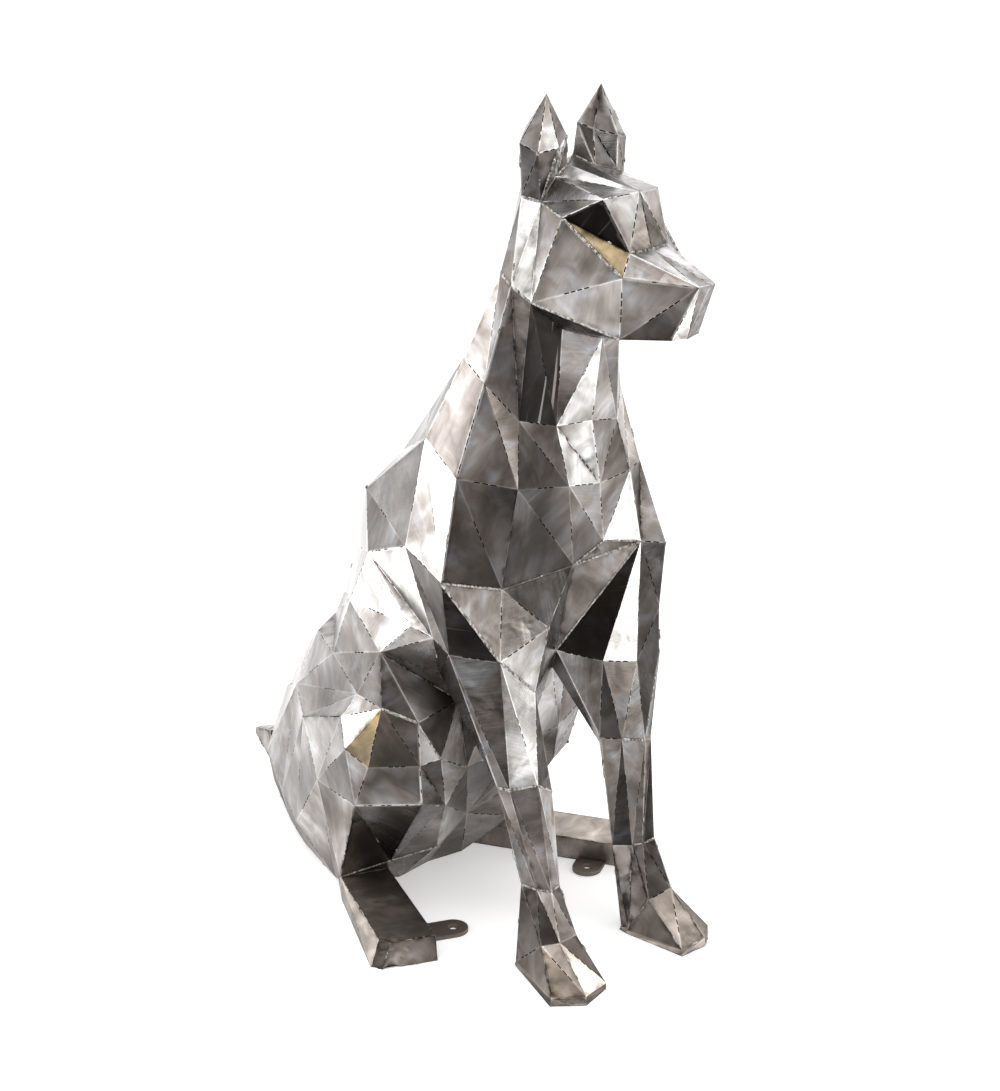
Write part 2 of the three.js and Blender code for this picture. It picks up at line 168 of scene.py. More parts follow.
# %% Lights
SOFTBOXES = {
    # name: (azimuth, height, distance, width, length, radiance, colour)
    "rear_right_softbox": (-143, 0.9, 2.6, 1.7, 2.0, 2.2, (1.0, 0.99, 0.98)),
    "overhead_softbox": (-60, 3.4, 0.6, 2.2, 2.2, 3.0, (1.0, 1.0, 1.0)),
    "far_side_softbox": (72, 1.2, 3.2, 1.9, 2.4, 2.0, (1.0, 0.99, 0.97)),
    "front_strip": (24, 0.95, 3.4, 0.75, 1.5, 4.5, (1.0, 0.98, 0.95)),
}
LIGHT_AIM = place(0, -60, 420)
for name, (azimuth, height, distance, width, length, radiance, colour) in SOFTBOXES.items():
    data = bpy.data.lights.new(name, "AREA")
    data.shape = "RECTANGLE"
    data.size = width
    data.size_y = length
    data.energy = radiance * math.pi * width * length
    data.color = colour
    lamp = bpy.data.objects.new(name, data)
    turn = math.radians(azimuth)
    lamp.location = (distance * math.sin(turn), -distance * math.cos(turn), height)
    lamp.rotation_euler = (LIGHT_AIM - lamp.location).to_track_quat("-Z", "Y").to_euler()
    bpy.context.scene.collection.objects.link(lamp)

# %% The room
FRONT_OF_ROOM = (0.07, 0.068, 0.066, 1)
BACK_OF_ROOM = (0.9, 0.9, 0.9, 1)
HIGH_FRONT = (1.1, 1.09, 1.07, 1)
ROOM_STRENGTH = 1.45
world = bpy.data.worlds.new("studio")
world.use_nodes = True
bpy.context.scene.world = world
tree = world.node_tree
tree.nodes.clear()
coordinates = node(tree, "ShaderNodeTexCoord")
# Dim in front of the dog (towards -Y) near the ground, and bright overhead and behind it.
lean = node(tree, "ShaderNodeVectorMath", {
    0: coordinates.outputs["Generated"], 1: (-0.2, 0.78, 0.59),
}, operation="DOT_PRODUCT")
backness = node(tree, "ShaderNodeMapRange", {
    0: lean.outputs["Value"], 1: -0.2, 2: 0.6, 3: 0.0, 4: 1.0,
}, interpolation_type="SMOOTHSTEP")
blotches = node(tree, "ShaderNodeTexNoise", {
    "Vector": coordinates.outputs["Generated"], "Scale": 2.6, "Detail": 2.0, "Distortion": 0.6,
})
shade = node(tree, "ShaderNodeMapRange", {0: blotches.outputs[0], 1: 0.35, 2: 0.65, 3: 0.7, 4: 1.3})
room = node(tree, "ShaderNodeMix", {
    0: backness.outputs[0], 6: FRONT_OF_ROOM, 7: BACK_OF_ROOM,
}, data_type="RGBA")
# A wide soft light hangs high in front.
high = node(tree, "ShaderNodeVectorMath", {
    0: coordinates.outputs["Generated"], 1: (0.1, -0.78, 0.62),
}, operation="DOT_PRODUCT")
hanging = node(tree, "ShaderNodeMapRange", {
    0: high.outputs["Value"], 1: 0.84, 2: 0.97, 3: 0.0, 4: 1.0,
}, interpolation_type="SMOOTHSTEP")
room = node(tree, "ShaderNodeMix", {
    0: hanging.outputs[0], 6: room.outputs[2], 7: HIGH_FRONT,
}, data_type="RGBA")
strength = node(tree, "ShaderNodeMath", {0: shade.outputs[0], 1: ROOM_STRENGTH}, operation="MULTIPLY")
sky = node(tree, "ShaderNodeBackground", {"Color": room.outputs[2], "Strength": strength.outputs[0]})
node(tree, "ShaderNodeOutputWorld", {"Surface": sky.outputs[0]})
bpy.context.scene.view_settings.view_transform = "Standard"
print(len(SOFTBOXES), "softboxes")

# %% [markdown]
# ## Facets and the edges between them
# The solid's mesh is made of triangles, and two triangles in one plane are one facet here. For each edge it
# matters which two facets it joins and how sharply, because a shallow edge is a fold with a row of slots
# and a sharp one is a ground weld.

# %% Read the facets
SAME_POINT = 1e-5
FLAT_ANGLE = math.radians(0.4)
SEAM_ANGLE = math.radians(27)


class Facet:
    """One flat plate facet: its corners in order, its normal, and how wide its rounded rim is."""

    def __init__(self, loop, points):
        self.loop = loop
        self.points = [points[i] for i in loop]
        self.count = len(loop)
        total = Vector()
        for k in range(self.count):
            total += self.points[k].cross(self.points[(k + 1) % self.count])
        self.normal = total.normalized()
        self.area = total.length / 2
        sides = [self.points[(k + 1) % self.count] - self.points[k] for k in range(self.count)]
        self.along = [side.normalized() for side in sides]
        self.inward = [self.normal.cross(a) for a in self.along]
        self.girth = sum(side.length for side in sides)
        self.centre = sum(self.points, Vector()) / self.count


def read_facets(cad_node):
    bm = bmesh.new()
    bm.from_mesh(cad_node.data)
    bmesh.ops.remove_doubles(bm, verts=bm.verts, dist=SAME_POINT)
    bmesh.ops.dissolve_limit(bm, angle_limit=FLAT_ANGLE, verts=bm.verts, edges=bm.edges)
    bm.verts.index_update()
    points = [v.co.copy() for v in bm.verts]
    found = [Facet([v.index for v in f.verts], points) for f in bm.faces]
    bm.free()
    return points, found


corners, facets = read_facets(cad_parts["dog_body"])
edges = {}
for number, facet in enumerate(facets):
    for k in range(facet.count):
        key = tuple(sorted((facet.loop[k], facet.loop[(k + 1) % facet.count])))
        edges.setdefault(key, []).append((number, k))
odd = [key for key, sides in edges.items() if len(sides) != 2]
print(len(facets), "facets,", len(edges), "edges,", len(odd), "odd edges")

# %% [markdown]
# ## The rounded rim of every facet
# A folded or ground edge is never a knife edge. Every facet keeps its flat middle, and a rim about 1.5 mm
# wide rolls over to its neighbour. The rim has three rows of points: on the edge, halfway, and where the
# flat begins. Where two rims of one facet meet, their rows meet on the corner's mitre.

# %% Rim widths and mitres
RIM = 1.5 * MM
RIM_SHARE = 0.28
LONGEST_MITRE = 9.0


def mitres(facet):
    """For each corner, where the flat's corner lies for a rim of width 1."""
    found = []
    for k in range(facet.count):
        before, after = facet.inward[k - 1], facet.inward[k]
        found.append((before + after) / max(1 + before.dot(after), 1 / LONGEST_MITRE))
    return found


def rim_width(facet):
    """The widest rim, up to RIM, that still leaves every side of the flat longer than nothing."""
    width = min(RIM, RIM_SHARE * 2 * facet.area / facet.girth)
    while width > 0.02 * MM:
        inner = [p + m * width for p, m in zip(facet.points, facet.mitre)]
        steps = [(inner[(k + 1) % facet.count] - inner[k]).dot(facet.along[k]) for k in range(facet.count)]
        if min(steps) > 0.1 * MM:
            return width
        width *= 0.6
    return 0.0


for facet in facets:
    facet.mitre = mitres(facet)
    facet.rim = rim_width(facet)
print("facets with a narrow rim:", sum(f.rim < 0.5 * RIM for f in facets))
print("facets with no rim:", sum(f.rim == 0 for f in facets))

# %% [markdown]
# ## Welds that were left rough
# Most welds are ground flush. Some runs are left rough: round the neck, from the ear to the cheek, across
# the stop of the nose, at the elbows, ankles and knees, and where the shins stand on the hind feet.
# Each run is a line through a few places on the dog, and an edge belongs to it if its middle lies near.

# %% Rough weld runs
WELD_RUNS = {
    "collar": [(58, 65, 803), (66, 91, 795), (60, 115, 780), (35, 224, 759)],
    "ear to cheek": [(66, 106, 894), (50, 119, 888), (64, 166, 882), (45, 236, 829)],
    "ear foot, inner": [(30, 118, 912), (12, 110, 924), (42, 83, 907)],
    "stop": [(28, 229, 851), (0, 233, 851)],
    "elbow": [(108, 115, 229), (99, 126, 227), (66, 137, 226), (46, 140, 213)],
    "ankle": [(96, 142, 114), (84, 155, 108), (66, 160, 101), (50, 157, 103)],
    "knee": [(160, -23, 295), (140, 18, 285), (120, 33, 239)],
    "hock": [(140, -131, 30), (88, -98, 47), (60, -45, 77)],
    "breast": [(88, 98, 370), (42, 106, 323), (25, 68, 343)],
    "far breast": [(25, 68, 343), (148, 79, 448)],
    "breast bone": [(145, 65, 470), (65, 75, 444), (50, 69, 441), (100, 66, 457), (148, 79, 448)],
}
RUN_REACH = 11 * MM


def distance_to_line(point, start, end):
    span = end - start
    share = min(max((point - start).dot(span) / max(span.length_squared, 1e-12), 0), 1)
    return (point - start - span * share).length


run_lines = []
for run in WELD_RUNS.values():
    for side in (-1, 1):
        stops = [place(*stop, side=side) for stop in run]
        run_lines += list(zip(stops, stops[1:]))


class Edge:
    """The join between two facets."""

    def __init__(self, key, sides):
        self.key = key
        self.sides = sides
        self.start, self.end = corners[key[0]], corners[key[1]]
        self.span = self.end - self.start
        self.length = self.span.length
        one, two = (facets[number] for number, _ in sides)
        self.outward = (one.normal + two.normal).normalized()
        self.angle = one.normal.angle(two.normal)
        middle = (self.start + self.end) / 2
        self.rough = any(distance_to_line(middle, a, b) < RUN_REACH for a, b in run_lines)
        self.seam = self.rough or self.angle > SEAM_ANGLE
        self.cuts = []


joins = {key: Edge(key, sides) for key, sides in edges.items() if len(sides) == 2}
print("folds:", sum(not e.seam for e in joins.values()))
print("ground seams:", sum(e.seam and not e.rough for e in joins.values()))
print("rough welds:", sum(e.rough for e in joins.values()))
print("rough metres:", round(sum(e.length for e in joins.values() if e.rough), 2))

# %% [markdown]
# ## What the metal of each plate is like
# The plates come from one grinder's hand, but some were polished up and some were left dark. A tone says
# how bright a plate's metal looks, and part of it is painted reflection and shade of the room. The default
# depends on which way the plate faces, so plates that face up carry painted light from above, with some
# chance in it.
# The plates that stand out have one of six named finishes. Each is named by a spot on a plain
# front or side view of the dog, in round millimetres, and a ray from that side finds the plate there.
# Welding heat left a straw colour on some plates.

# %% Plate tones
PLAIN_TONE = 0.16
CHANCE_STOPS = 0.45
TOP_PAINTED_LIGHT_STOPS = 0.9
# Painted light: each finish is a tone that is partly the plate's real polish and partly painted reflection
# and shade of the room.
FINISH_AND_LIGHT_TONES = {"blackened_and_shaded": 0.018, "dark": 0.05, "dull": 0.09, "plain": 0.17, "bright": 0.3, "polished_and_lit": 0.7}
# (out, up) on the front view, where out is negative on the dog's right.
FRONT_PLATES = {
    "blackened_and_shaded": [(-40, 680), (-25, 700), (-115, 400), (80, 370)],
    "dark": [(-30, 580), (0, 520), (-30, 480), (-80, 540), (-115, 500), (-110, 330), (70, 170)],
    "dull": [(-75, 720), (-65, 620), (-95, 610), (0, 600), (-45, 920), (-80, 190),
             (-80, 130), (70, 290), (80, 80)],
    "plain": [(-5, 700), (50, 680), (75, 600), (40, 500), (90, 510), (-10, 870), (-5, 810), (-20, 960),
              (-30, 425), (60, 420), (-62, 40)],
    "bright": [(-25, 880), (45, 590), (20, 590), (105, 590), (70, 510), (-110, 430), (-45, 360), (-85, 260),
               (40, 960), (40, 930), (-40, 960), (90, 170)],
    "polished_and_lit": [(20, 680), (120, 500), (-14, 800), (130, 370), (-65, 290), (-75, 35)],
}
# (forward, up) on the view of the dog's right side.
RIGHT_PLATES = {
    "blackened_and_shaded": [(195, 880)],
    "dark": [(280, 780), (-20, 240), (5, 270), (-50, 140)],
    "dull": [(220, 848), (260, 810), (150, 755), (-20, 310), (-100, 80)],
    "plain": [(180, 820), (250, 838), (-60, 540), (0, 360), (-10, 200), (-55, 240)],
    "bright": [(190, 790), (80, 840), (130, 860), (60, 740), (20, 520), (-40, 380), (-60, 282)],
    "polished_and_lit": [(105, 860), (110, 820), (50, 540), (-20, 440), (-70, 410), (-65, 260)],
}
STRAW_FROM_RIGHT = {(220, 848): 0.75, (-55, 240): 0.9, (-20, 240): 0.4}
STRAW_FROM_FRONT = {(-95, 30): 0.35}
SCRATCHED_FROM_FRONT = {(-40, 680): -1.0, (-25, 700): -1.0, (-8, 838): 1.0, (8, 838): 1.0}
FAR_AWAY = 5.0
MATT_BELOW = 48 * MM
HALF_MATT_BELOW = 118 * MM
plate_draw = random.Random(23)
finder = BVHTree.FromPolygons(corners, [facet.loop for facet in facets])


def plate_from_front(out, up):
    """The number of the plate that a look from the front meets at a spot in mm."""
    start = place(out, 0, up)
    return finder.ray_cast(Vector((start.x, -FAR_AWAY, start.z)), Vector((0, 1, 0)))[2]


def plate_from_right(forward, up):
    """The number of the plate that a look from the dog's right meets at a spot in mm."""
    start = place(0, forward, up)
    return finder.ray_cast(Vector((-FAR_AWAY, start.y, start.z)), Vector((1, 0, 0)))[2]


chance_of = [plate_draw.random() for _ in facets]
tone_and_painted_light_of, straw_of, matt_of, scratch_of = {}, {}, {}, {}
for number, facet in enumerate(facets):
    # Painted light: plates that face up get a brighter base colour, as if lit from above.
    stops = CHANCE_STOPS * (2 * chance_of[number] - 1) + TOP_PAINTED_LIGHT_STOPS * facet.normal.z
    tone_and_painted_light_of[number] = PLAIN_TONE * 2 ** stops
    straw_of[number] = 0.0
    matt_of[number] = 0.0
    if facet.centre.z < HALF_MATT_BELOW:
        matt_of[number] = 1.0 if facet.centre.z < MATT_BELOW else 0.4
    scratch_of[number] = plate_draw.choice((0.0, 0.0, 0.15, -0.2))
for plates, look in ((FRONT_PLATES, plate_from_front), (RIGHT_PLATES, plate_from_right)):
    for finish, spots in plates.items():
        for spot in spots:
            tone_and_painted_light_of[look(*spot)] = FINISH_AND_LIGHT_TONES[finish]
for spots, look in ((STRAW_FROM_FRONT, plate_from_front), (STRAW_FROM_RIGHT, plate_from_right)):
    for spot, share in spots.items():
        straw_of[look(*spot)] = share
for spot, share in SCRATCHED_FROM_FRONT.items():
    scratch_of[plate_from_front(*spot)] = share
print("plates with a named finish:", sum(len(p) for v in (FRONT_PLATES, RIGHT_PLATES) for p in v.values()))

# %% The ground line of every seam
# How the line of a seam looks, from 0 (sooty, partly painted shade) over 0.5 (plain) to 1 (polished, partly a
# painted highlight): each kind draws from a range.
LINE_PLAIN = 0.5
HOLLOW_SHADED_LINES = (0.0, 0.3)
ROUGH_LINES = (0.3, 0.6)
POLISHED_AND_LIT_LINES = (0.6, 1.0)
SOFT_RIDGE_LINES = (0.15, 0.5, 0.8)
DARK_PLATE_LINES = (0.2, 0.7)
SHARP_RIDGE = math.radians(38)
DARK_TONE = 0.16


def is_ridge(edge):
    """Whether the edge stands out (a ridge) or lies in a hollow (a valley)."""
    one, two = (facets[number] for number, _ in edge.sides)
    return (two.centre - one.centre).dot(one.normal) < 0


# Painted light in part: seams on ridges get a bright line that is partly a painted highlight, and seams in
# hollows or near the floor get a dark line that is partly painted shade.
for edge in joins.values():
    brightest = max(tone_and_painted_light_of[number] for number, _ in edge.sides)
    if not edge.seam:
        edge.line = LINE_PLAIN
    elif not is_ridge(edge) or edge.start.z + edge.end.z < 2 * HALF_MATT_BELOW:
        edge.line = plate_draw.uniform(*HOLLOW_SHADED_LINES)
    elif edge.rough:
        edge.line = plate_draw.uniform(*ROUGH_LINES)
    elif brightest > DARK_TONE and edge.angle > SHARP_RIDGE:
        edge.line = plate_draw.uniform(*POLISHED_AND_LIT_LINES)
    elif brightest > DARK_TONE:
        edge.line = plate_draw.choice(SOFT_RIDGE_LINES)
    else:
        edge.line = plate_draw.uniform(*DARK_PLATE_LINES)
print("polished seams:", sum(e.line > 0.7 for e in joins.values()))
print("sooty seams:", sum(e.line < 0.3 for e in joins.values()))

# %% [markdown]
# ## Fold slots and weld gaps
# A laser cuts three to five short slots along each fold line, so that 2 mm sheet bends there by hand.
# A ground weld that didn't fill leaves shorter, uneven gaps. Both are real pockets in the mesh, cut into
# the middle of the rim, with walls painted near black as painted shade.

# %% Plan the slots along each edge
SLOT = 6.8 * MM
SLOT_GAP = 2.9 * MM
SLOT_DEPTH = 2.4 * MM
SLOT_TIP = 0.8 * MM
draw = random.Random(7)


def fold_slots(edge):
    """A row of even slots about the middle of the fold, as shares of its length."""
    room = 0.62 * edge.length
    count = min(draw.choice((3, 4, 4, 5)), int((room + SLOT_GAP) / (SLOT + SLOT_GAP)))
    row = count * SLOT + (count - 1) * SLOT_GAP
    first = (edge.length - row) / 2 + draw.uniform(-0.08, 0.08) * edge.length
    found = []
    for i in range(max(count, 0)):
        at = first + i * (SLOT + SLOT_GAP) + draw.uniform(-0.3, 0.3) * MM
        found.append((at / edge.length, (at + SLOT * draw.uniform(0.8, 1.0)) / edge.length))
    return found


def seam_gaps(edge):
    """Uneven gaps along a seam: long rows on some seams, a few pits on others."""
    share = draw.choice((0.0, 0.12, 0.3, 0.55))
    found = []
    at = 6 * MM
    while at < edge.length - 12 * MM:
        length = draw.uniform(2.0, 7.5) * MM
        if draw.random() < share:
            found.append((at / edge.length, (at + length) / edge.length))
        at += length + draw.uniform(1.5, 5.0) * MM
    return found


for edge in joins.values():
    wide_enough = all(facets[number].rim > 0.7 * RIM for number, _ in edge.sides)
    if wide_enough and edge.length > 24 * MM and edge.start.z + edge.end.z > 4 * MM:
        edge.cuts = seam_gaps(edge) if edge.seam else fold_slots(edge)
print("slots and gaps:", sum(len(e.cuts) for e in joins.values()))

# %% [markdown]
# ## Stations
# Each edge is divided into stations, where its rim has a row of points. Slots begin and end on a station.
# A ground seam has closer stations than a fold, because it is uneven.

# %% Divide every edge
FOLD_STEP = 12 * MM
SEAM_STEP = 4.5 * MM


def stations(edge):
    step = SEAM_STEP if edge.seam else FOLD_STEP
    fixed = sorted({0.0, 1.0} | {t for cut in edge.cuts for t in cut})
    found = [0.0]
    for low, high in zip(fixed, fixed[1:]):
        parts = max(1, round((high - low) * edge.length / step))
        found += [low + (high - low) * i / parts for i in range(1, parts)] + [high]
    return found


for edge in joins.values():
    edge.stations = stations(edge)
    middles = [(a + b) / 2 for a, b in zip(edge.stations, edge.stations[1:])]
    edge.open = [any(low < m < high for low, high in edge.cuts) for m in middles]
print("stations:", sum(len(e.stations) for e in joins.values()))

# %% [markdown]
# ## Building the shell
# Points are collected in one list with, for each, its shading normal and its distance to the nearest edge
# and to the nearest seam. The material uses the distances for the bright ground band with its painted
# highlight, the painted rim highlight, and the soot with its painted shade.

# %% Point store
class Store:
    """Points and faces of one piece, with the numbers that its material reads."""

    def __init__(self):
        self.points = []
        self.normals = []
        self.edge_distance = []
        self.seam_distance = []
        self.line = []
        self.faces = []
        self.face_plate = []
        self.face_dark = []

    def point(self, at, normal, edge_distance=0.0, seam_distance=1.0, line=LINE_PLAIN):
        self.line.append(line)
        self.points.append(at)
        self.normals.append(normal)
        self.edge_distance.append(edge_distance)
        self.seam_distance.append(seam_distance)
        return len(self.points) - 1

    def face(self, loop, plate, dark=False):
        loop = [v for i, v in enumerate(loop) if v != loop[i - 1]]
        if len(loop) > 2:
            self.faces.append(loop)
            self.face_plate.append(plate)
            self.face_dark.append(dark)


shell = Store()
UNEVEN_SEAM = 0.35 * MM
UNEVEN_ROUGH = 0.7 * MM
UNEVEN_SCALE = 170.0


def unevenness(edge, at):
    """How far the ground or rough weld stands out or in at a place."""
    if not edge.seam:
        return 0.0
    size = UNEVEN_ROUGH if edge.rough else UNEVEN_SEAM
    return size * (noise.noise(at * UNEVEN_SCALE) - 0.25)


def seam_distance_at(facet_numbers, at):
    """Distance from a point to the nearest seam of these facets, up to a tenth of a metre."""
    best = 0.1
    for number in facet_numbers:
        facet = facets[number]
        for k in range(facet.count):
            edge = edge_of(facet, k)
            if edge is not None and edge.seam:
                best = min(best, distance_to_line(at, edge.start, edge.end))
    return best


def edge_of(facet, k):
    return joins.get(tuple(sorted((facet.loop[k], facet.loop[(k + 1) % facet.count]))))


# %% Corner points
touching = {}
for number, facet in enumerate(facets):
    for index in facet.loop:
        touching.setdefault(index, []).append(number)
corner_shift = {index: [] for index in touching}
for edge in joins.values():
    shift = Vector()
    for number, k in edge.sides:
        shift += facets[number].inward[k] * facets[number].rim * 0.25
    for index in edge.key:
        corner_shift[index].append(shift)
corner_vertex = {}
for index, numbers in touching.items():
    shift = sum(corner_shift[index], Vector()) / max(len(corner_shift[index]), 1)
    normal = sum((facets[n].normal for n in numbers), Vector()).normalized()
    at = corners[index] + shift * 1.6
    corner_vertex[index] = shell.point(at, normal, 0.0, seam_distance_at(numbers, corners[index]))

# %% Rows of points on and beside each edge
for edge in joins.values():
    edge.centre = []
    last = len(edge.stations) - 1
    opening_ends = {t for cut in edge.cuts for t in cut}
    for i, t in enumerate(edge.stations):
        if i in (0, last):
            edge.centre.append(corner_vertex[edge.key[0 if i == 0 else 1]])
            continue
        flat = edge.start + edge.span * t
        at = flat.copy()
        for number, k in edge.sides:
            at += facets[number].inward[k] * facets[number].rim * 0.25
        at += edge.outward * unevenness(edge, flat)
        distance = 0.0 if edge.seam else seam_distance_at([n for n, _ in edge.sides], flat)
        edge.centre.append(shell.point(at, edge.outward, 0.0, distance, edge.line))
    # The tip of a slot is pointed: its centre point lies a little beyond the slot's end.
    for low, high in edge.cuts:
        for t, way in ((low, -1), (high, 1)):
            vertex = edge.centre[edge.stations.index(t)]
            shell.points[vertex] = shell.points[vertex] + edge.span.normalized() * way * SLOT_TIP

for number, facet in enumerate(facets):
    if facet.rim == 0:
        continue
    facet.middle_corner, facet.inner_corner = [], []
    for k in range(facet.count):
        reach = facet.mitre[k] * facet.rim
        roll = Vector()
        for j in (k - 1, k):
            edge = edge_of(facet, j)
            if edge is not None:
                own = (number, j % facet.count)
                other, m = next(side for side in edge.sides if tuple(side) != own)
                roll += facets[other].inward[m] * facets[other].rim * 0.03
        at = facet.points[k] + reach * 0.5625 + roll
        distance = seam_distance_at([number], facet.points[k])
        facet.middle_corner.append(shell.point(at, facet.normal, 0.3 * facet.rim, distance))
        flat = facet.points[k] + reach
        facet.inner_corner.append(shell.point(flat, facet.normal, facet.rim, distance))

edge_rows = {}
for edge in joins.values():
    for side, (number, k) in enumerate(edge.sides):
        facet = facets[number]
        if facet.rim == 0:
            continue
        other, m = edge.sides[1 - side]
        forward = facet.loop[k] == edge.key[0]
        order = edge.stations if forward else [1 - t for t in reversed(edge.stations)]
        nxt = (k + 1) % facet.count
        inner_from = facet.points[k] + facet.mitre[k] * facet.rim
        inner_to = facet.points[nxt] + facet.mitre[nxt] * facet.rim
        middle, inner = [facet.middle_corner[k]], [facet.inner_corner[k]]
        roll = facets[other].inward[m] * facets[other].rim * 0.0625
        soft = (facet.normal * 0.72 + facets[other].normal * 0.28).normalized()
        for t in order[1:-1]:
            flat = facet.points[k].lerp(facet.points[nxt], t)
            inner_at = inner_from.lerp(inner_to, t)
            middle_at = flat + (inner_at - flat) * 0.5625 + roll
            middle_at += facet.normal * 0.5 * unevenness(edge, flat)
            distance = 0.0 if edge.seam else seam_distance_at([number], flat)
            middle.append(shell.point(middle_at, soft, 0.4 * facet.rim, distance, edge.line))
            inner.append(shell.point(inner_at, facet.normal, facet.rim, distance + facet.rim, edge.line))
        middle.append(facet.middle_corner[nxt])
        inner.append(facet.inner_corner[nxt])
        edge_rows[number, k] = (middle, inner, forward)
print("points after the rims:", len(shell.points))

# %% Faces of the rims, and the slots' pockets
for edge in joins.values():
    for number, k in edge.sides:
        if (number, k) not in edge_rows:
            continue
        middle, inner, forward = edge_rows[number, k]
        centre = edge.centre if forward else edge.centre[::-1]
        is_open = edge.open if forward else edge.open[::-1]
        for i in range(len(centre) - 1):
            if not is_open[i]:
                shell.face([centre[i], centre[i + 1], middle[i + 1], middle[i]], number)
            shell.face([middle[i], middle[i + 1], inner[i + 1], inner[i]], number)
    for low, high in edge.cuts:
        first, last = edge.stations.index(low), edge.stations.index(high)
        rims = []
        for number, k in edge.sides:
            middle, _, forward = edge_rows[number, k]
            rims.append(middle if forward else middle[::-1])
        # The facet that runs the edge forwards has the inside of the pocket on its right hand.
        forward_first = edge_rows[edge.sides[0]][2]
        left, right = (rims[0], rims[1]) if forward_first else (rims[1], rims[0])
        loop = [edge.centre[first]] + right[first:last + 1] + [edge.centre[last]] + left[first:last + 1][::-1]
        below = []
        axis = edge.span.normalized()
        line_start = shell.points[edge.centre[first]]
        for v in loop:
            at = shell.points[v]
            across = at - line_start - axis * (at - line_start).dot(axis)
            below.append(shell.point(at - across * 0.35 - edge.outward * SLOT_DEPTH, edge.outward, 0.0, 0.0))
        number = edge.sides[0][0]
        for i in range(len(loop)):
            j = (i + 1) % len(loop)
            shell.face([loop[i], loop[j], below[j], below[i]], number, dark=True)
        shell.face(below, number, dark=True)
print("faces after the rims:", len(shell.faces))

# %% [markdown]
# ## The flat of every plate
# Sheet that has been welded along its sides is never quite flat: the heat pulls it in and the grinding
# leaves it a little wavy, which is what breaks up the reflections. So each flat is filled with small
# triangles, and its inner points move in or out by a few tenths of a millimetre.

# %% Fill the flats
FILL_STEP = 9.0 * MM
WAVE_SCALE = 21.0
WAVE_DEPTH = 0.9 * MM
PULL_DEPTH = 0.35 * MM
PULL_REACH = 26 * MM
jitter = random.Random(11)


def flat_axes(facet):
    """Two directions in the facet's plane: one as near to upright as it allows, the other square to it."""
    across = facet.normal.cross(Vector((0, 0, 1)))
    if across.length < 0.2:
        across = facet.normal.cross(Vector((0, 1, 0)))
    along = across.cross(facet.normal).normalized()
    return along, facet.normal.cross(along)


def inner_loop(number, facet):
    """The point numbers round the facet's flat."""
    found = []
    for k in range(facet.count):
        key = (number, k)
        if facet.rim > 0 and key in edge_rows:
            row = edge_rows[key][1]
        else:
            edge = edge_of(facet, k)
            row = edge.centre if facet.loop[k] == edge.key[0] else edge.centre[::-1]
        found += row[:-1]
    return found


def distances_to_sides(facet, flat_points):
    """For 3-D points in the facet's plane: distance to the nearest side, and to the nearest seam."""
    nearest = np.full(len(flat_points), 1.0)
    seam = np.full(len(flat_points), 0.1)
    for k in range(facet.count):
        a = np.array(facet.points[k])
        b = np.array(facet.points[(k + 1) % facet.count])
        share = np.clip((flat_points - a) @ (b - a) / max((b - a) @ (b - a), 1e-12), 0, 1)
        away = np.linalg.norm(flat_points - a - share[:, None] * (b - a), axis=1)
        nearest = np.minimum(nearest, away)
        edge = edge_of(facet, k)
        if edge is not None and edge.seam:
            seam = np.minimum(seam, away)
    return nearest, seam


def inside(loop_2d, x, y):
    """Whether a 2-D point is inside a polygon."""
    hit = False
    for (x0, y0), (x1, y1) in zip(loop_2d, loop_2d[1:] + loop_2d[:1]):
        if (y0 > y) != (y1 > y) and x < (x1 - x0) * (y - y0) / (y1 - y0) + x0:
            hit = not hit
    return hit


# A foot that has been dropped on its corner is crumpled there, so that corner is filled more finely.
CRUMPLES = {
    "right hind toe": (place(-193, 32, 15), 30 * MM, 4.0 * MM),
    "right hind heel fold": (place(-150, -52, 30), 20 * MM, 1.6 * MM),
    "left fore toe": (place(84, 240, 14), 20 * MM, 2.2 * MM),
}
CRUMPLE_STEP = 3.6 * MM
CRUMPLE_SCALE = 75.0


def fill_step_of(facet):
    """Fine where the plate is crumpled, coarse elsewhere."""
    for centre, reach, _ in CRUMPLES.values():
        near = min(distance_to_line(centre, facet.points[k - 1], facet.points[k]) for k in range(facet.count))
        if near < reach:
            return CRUMPLE_STEP
    return FILL_STEP


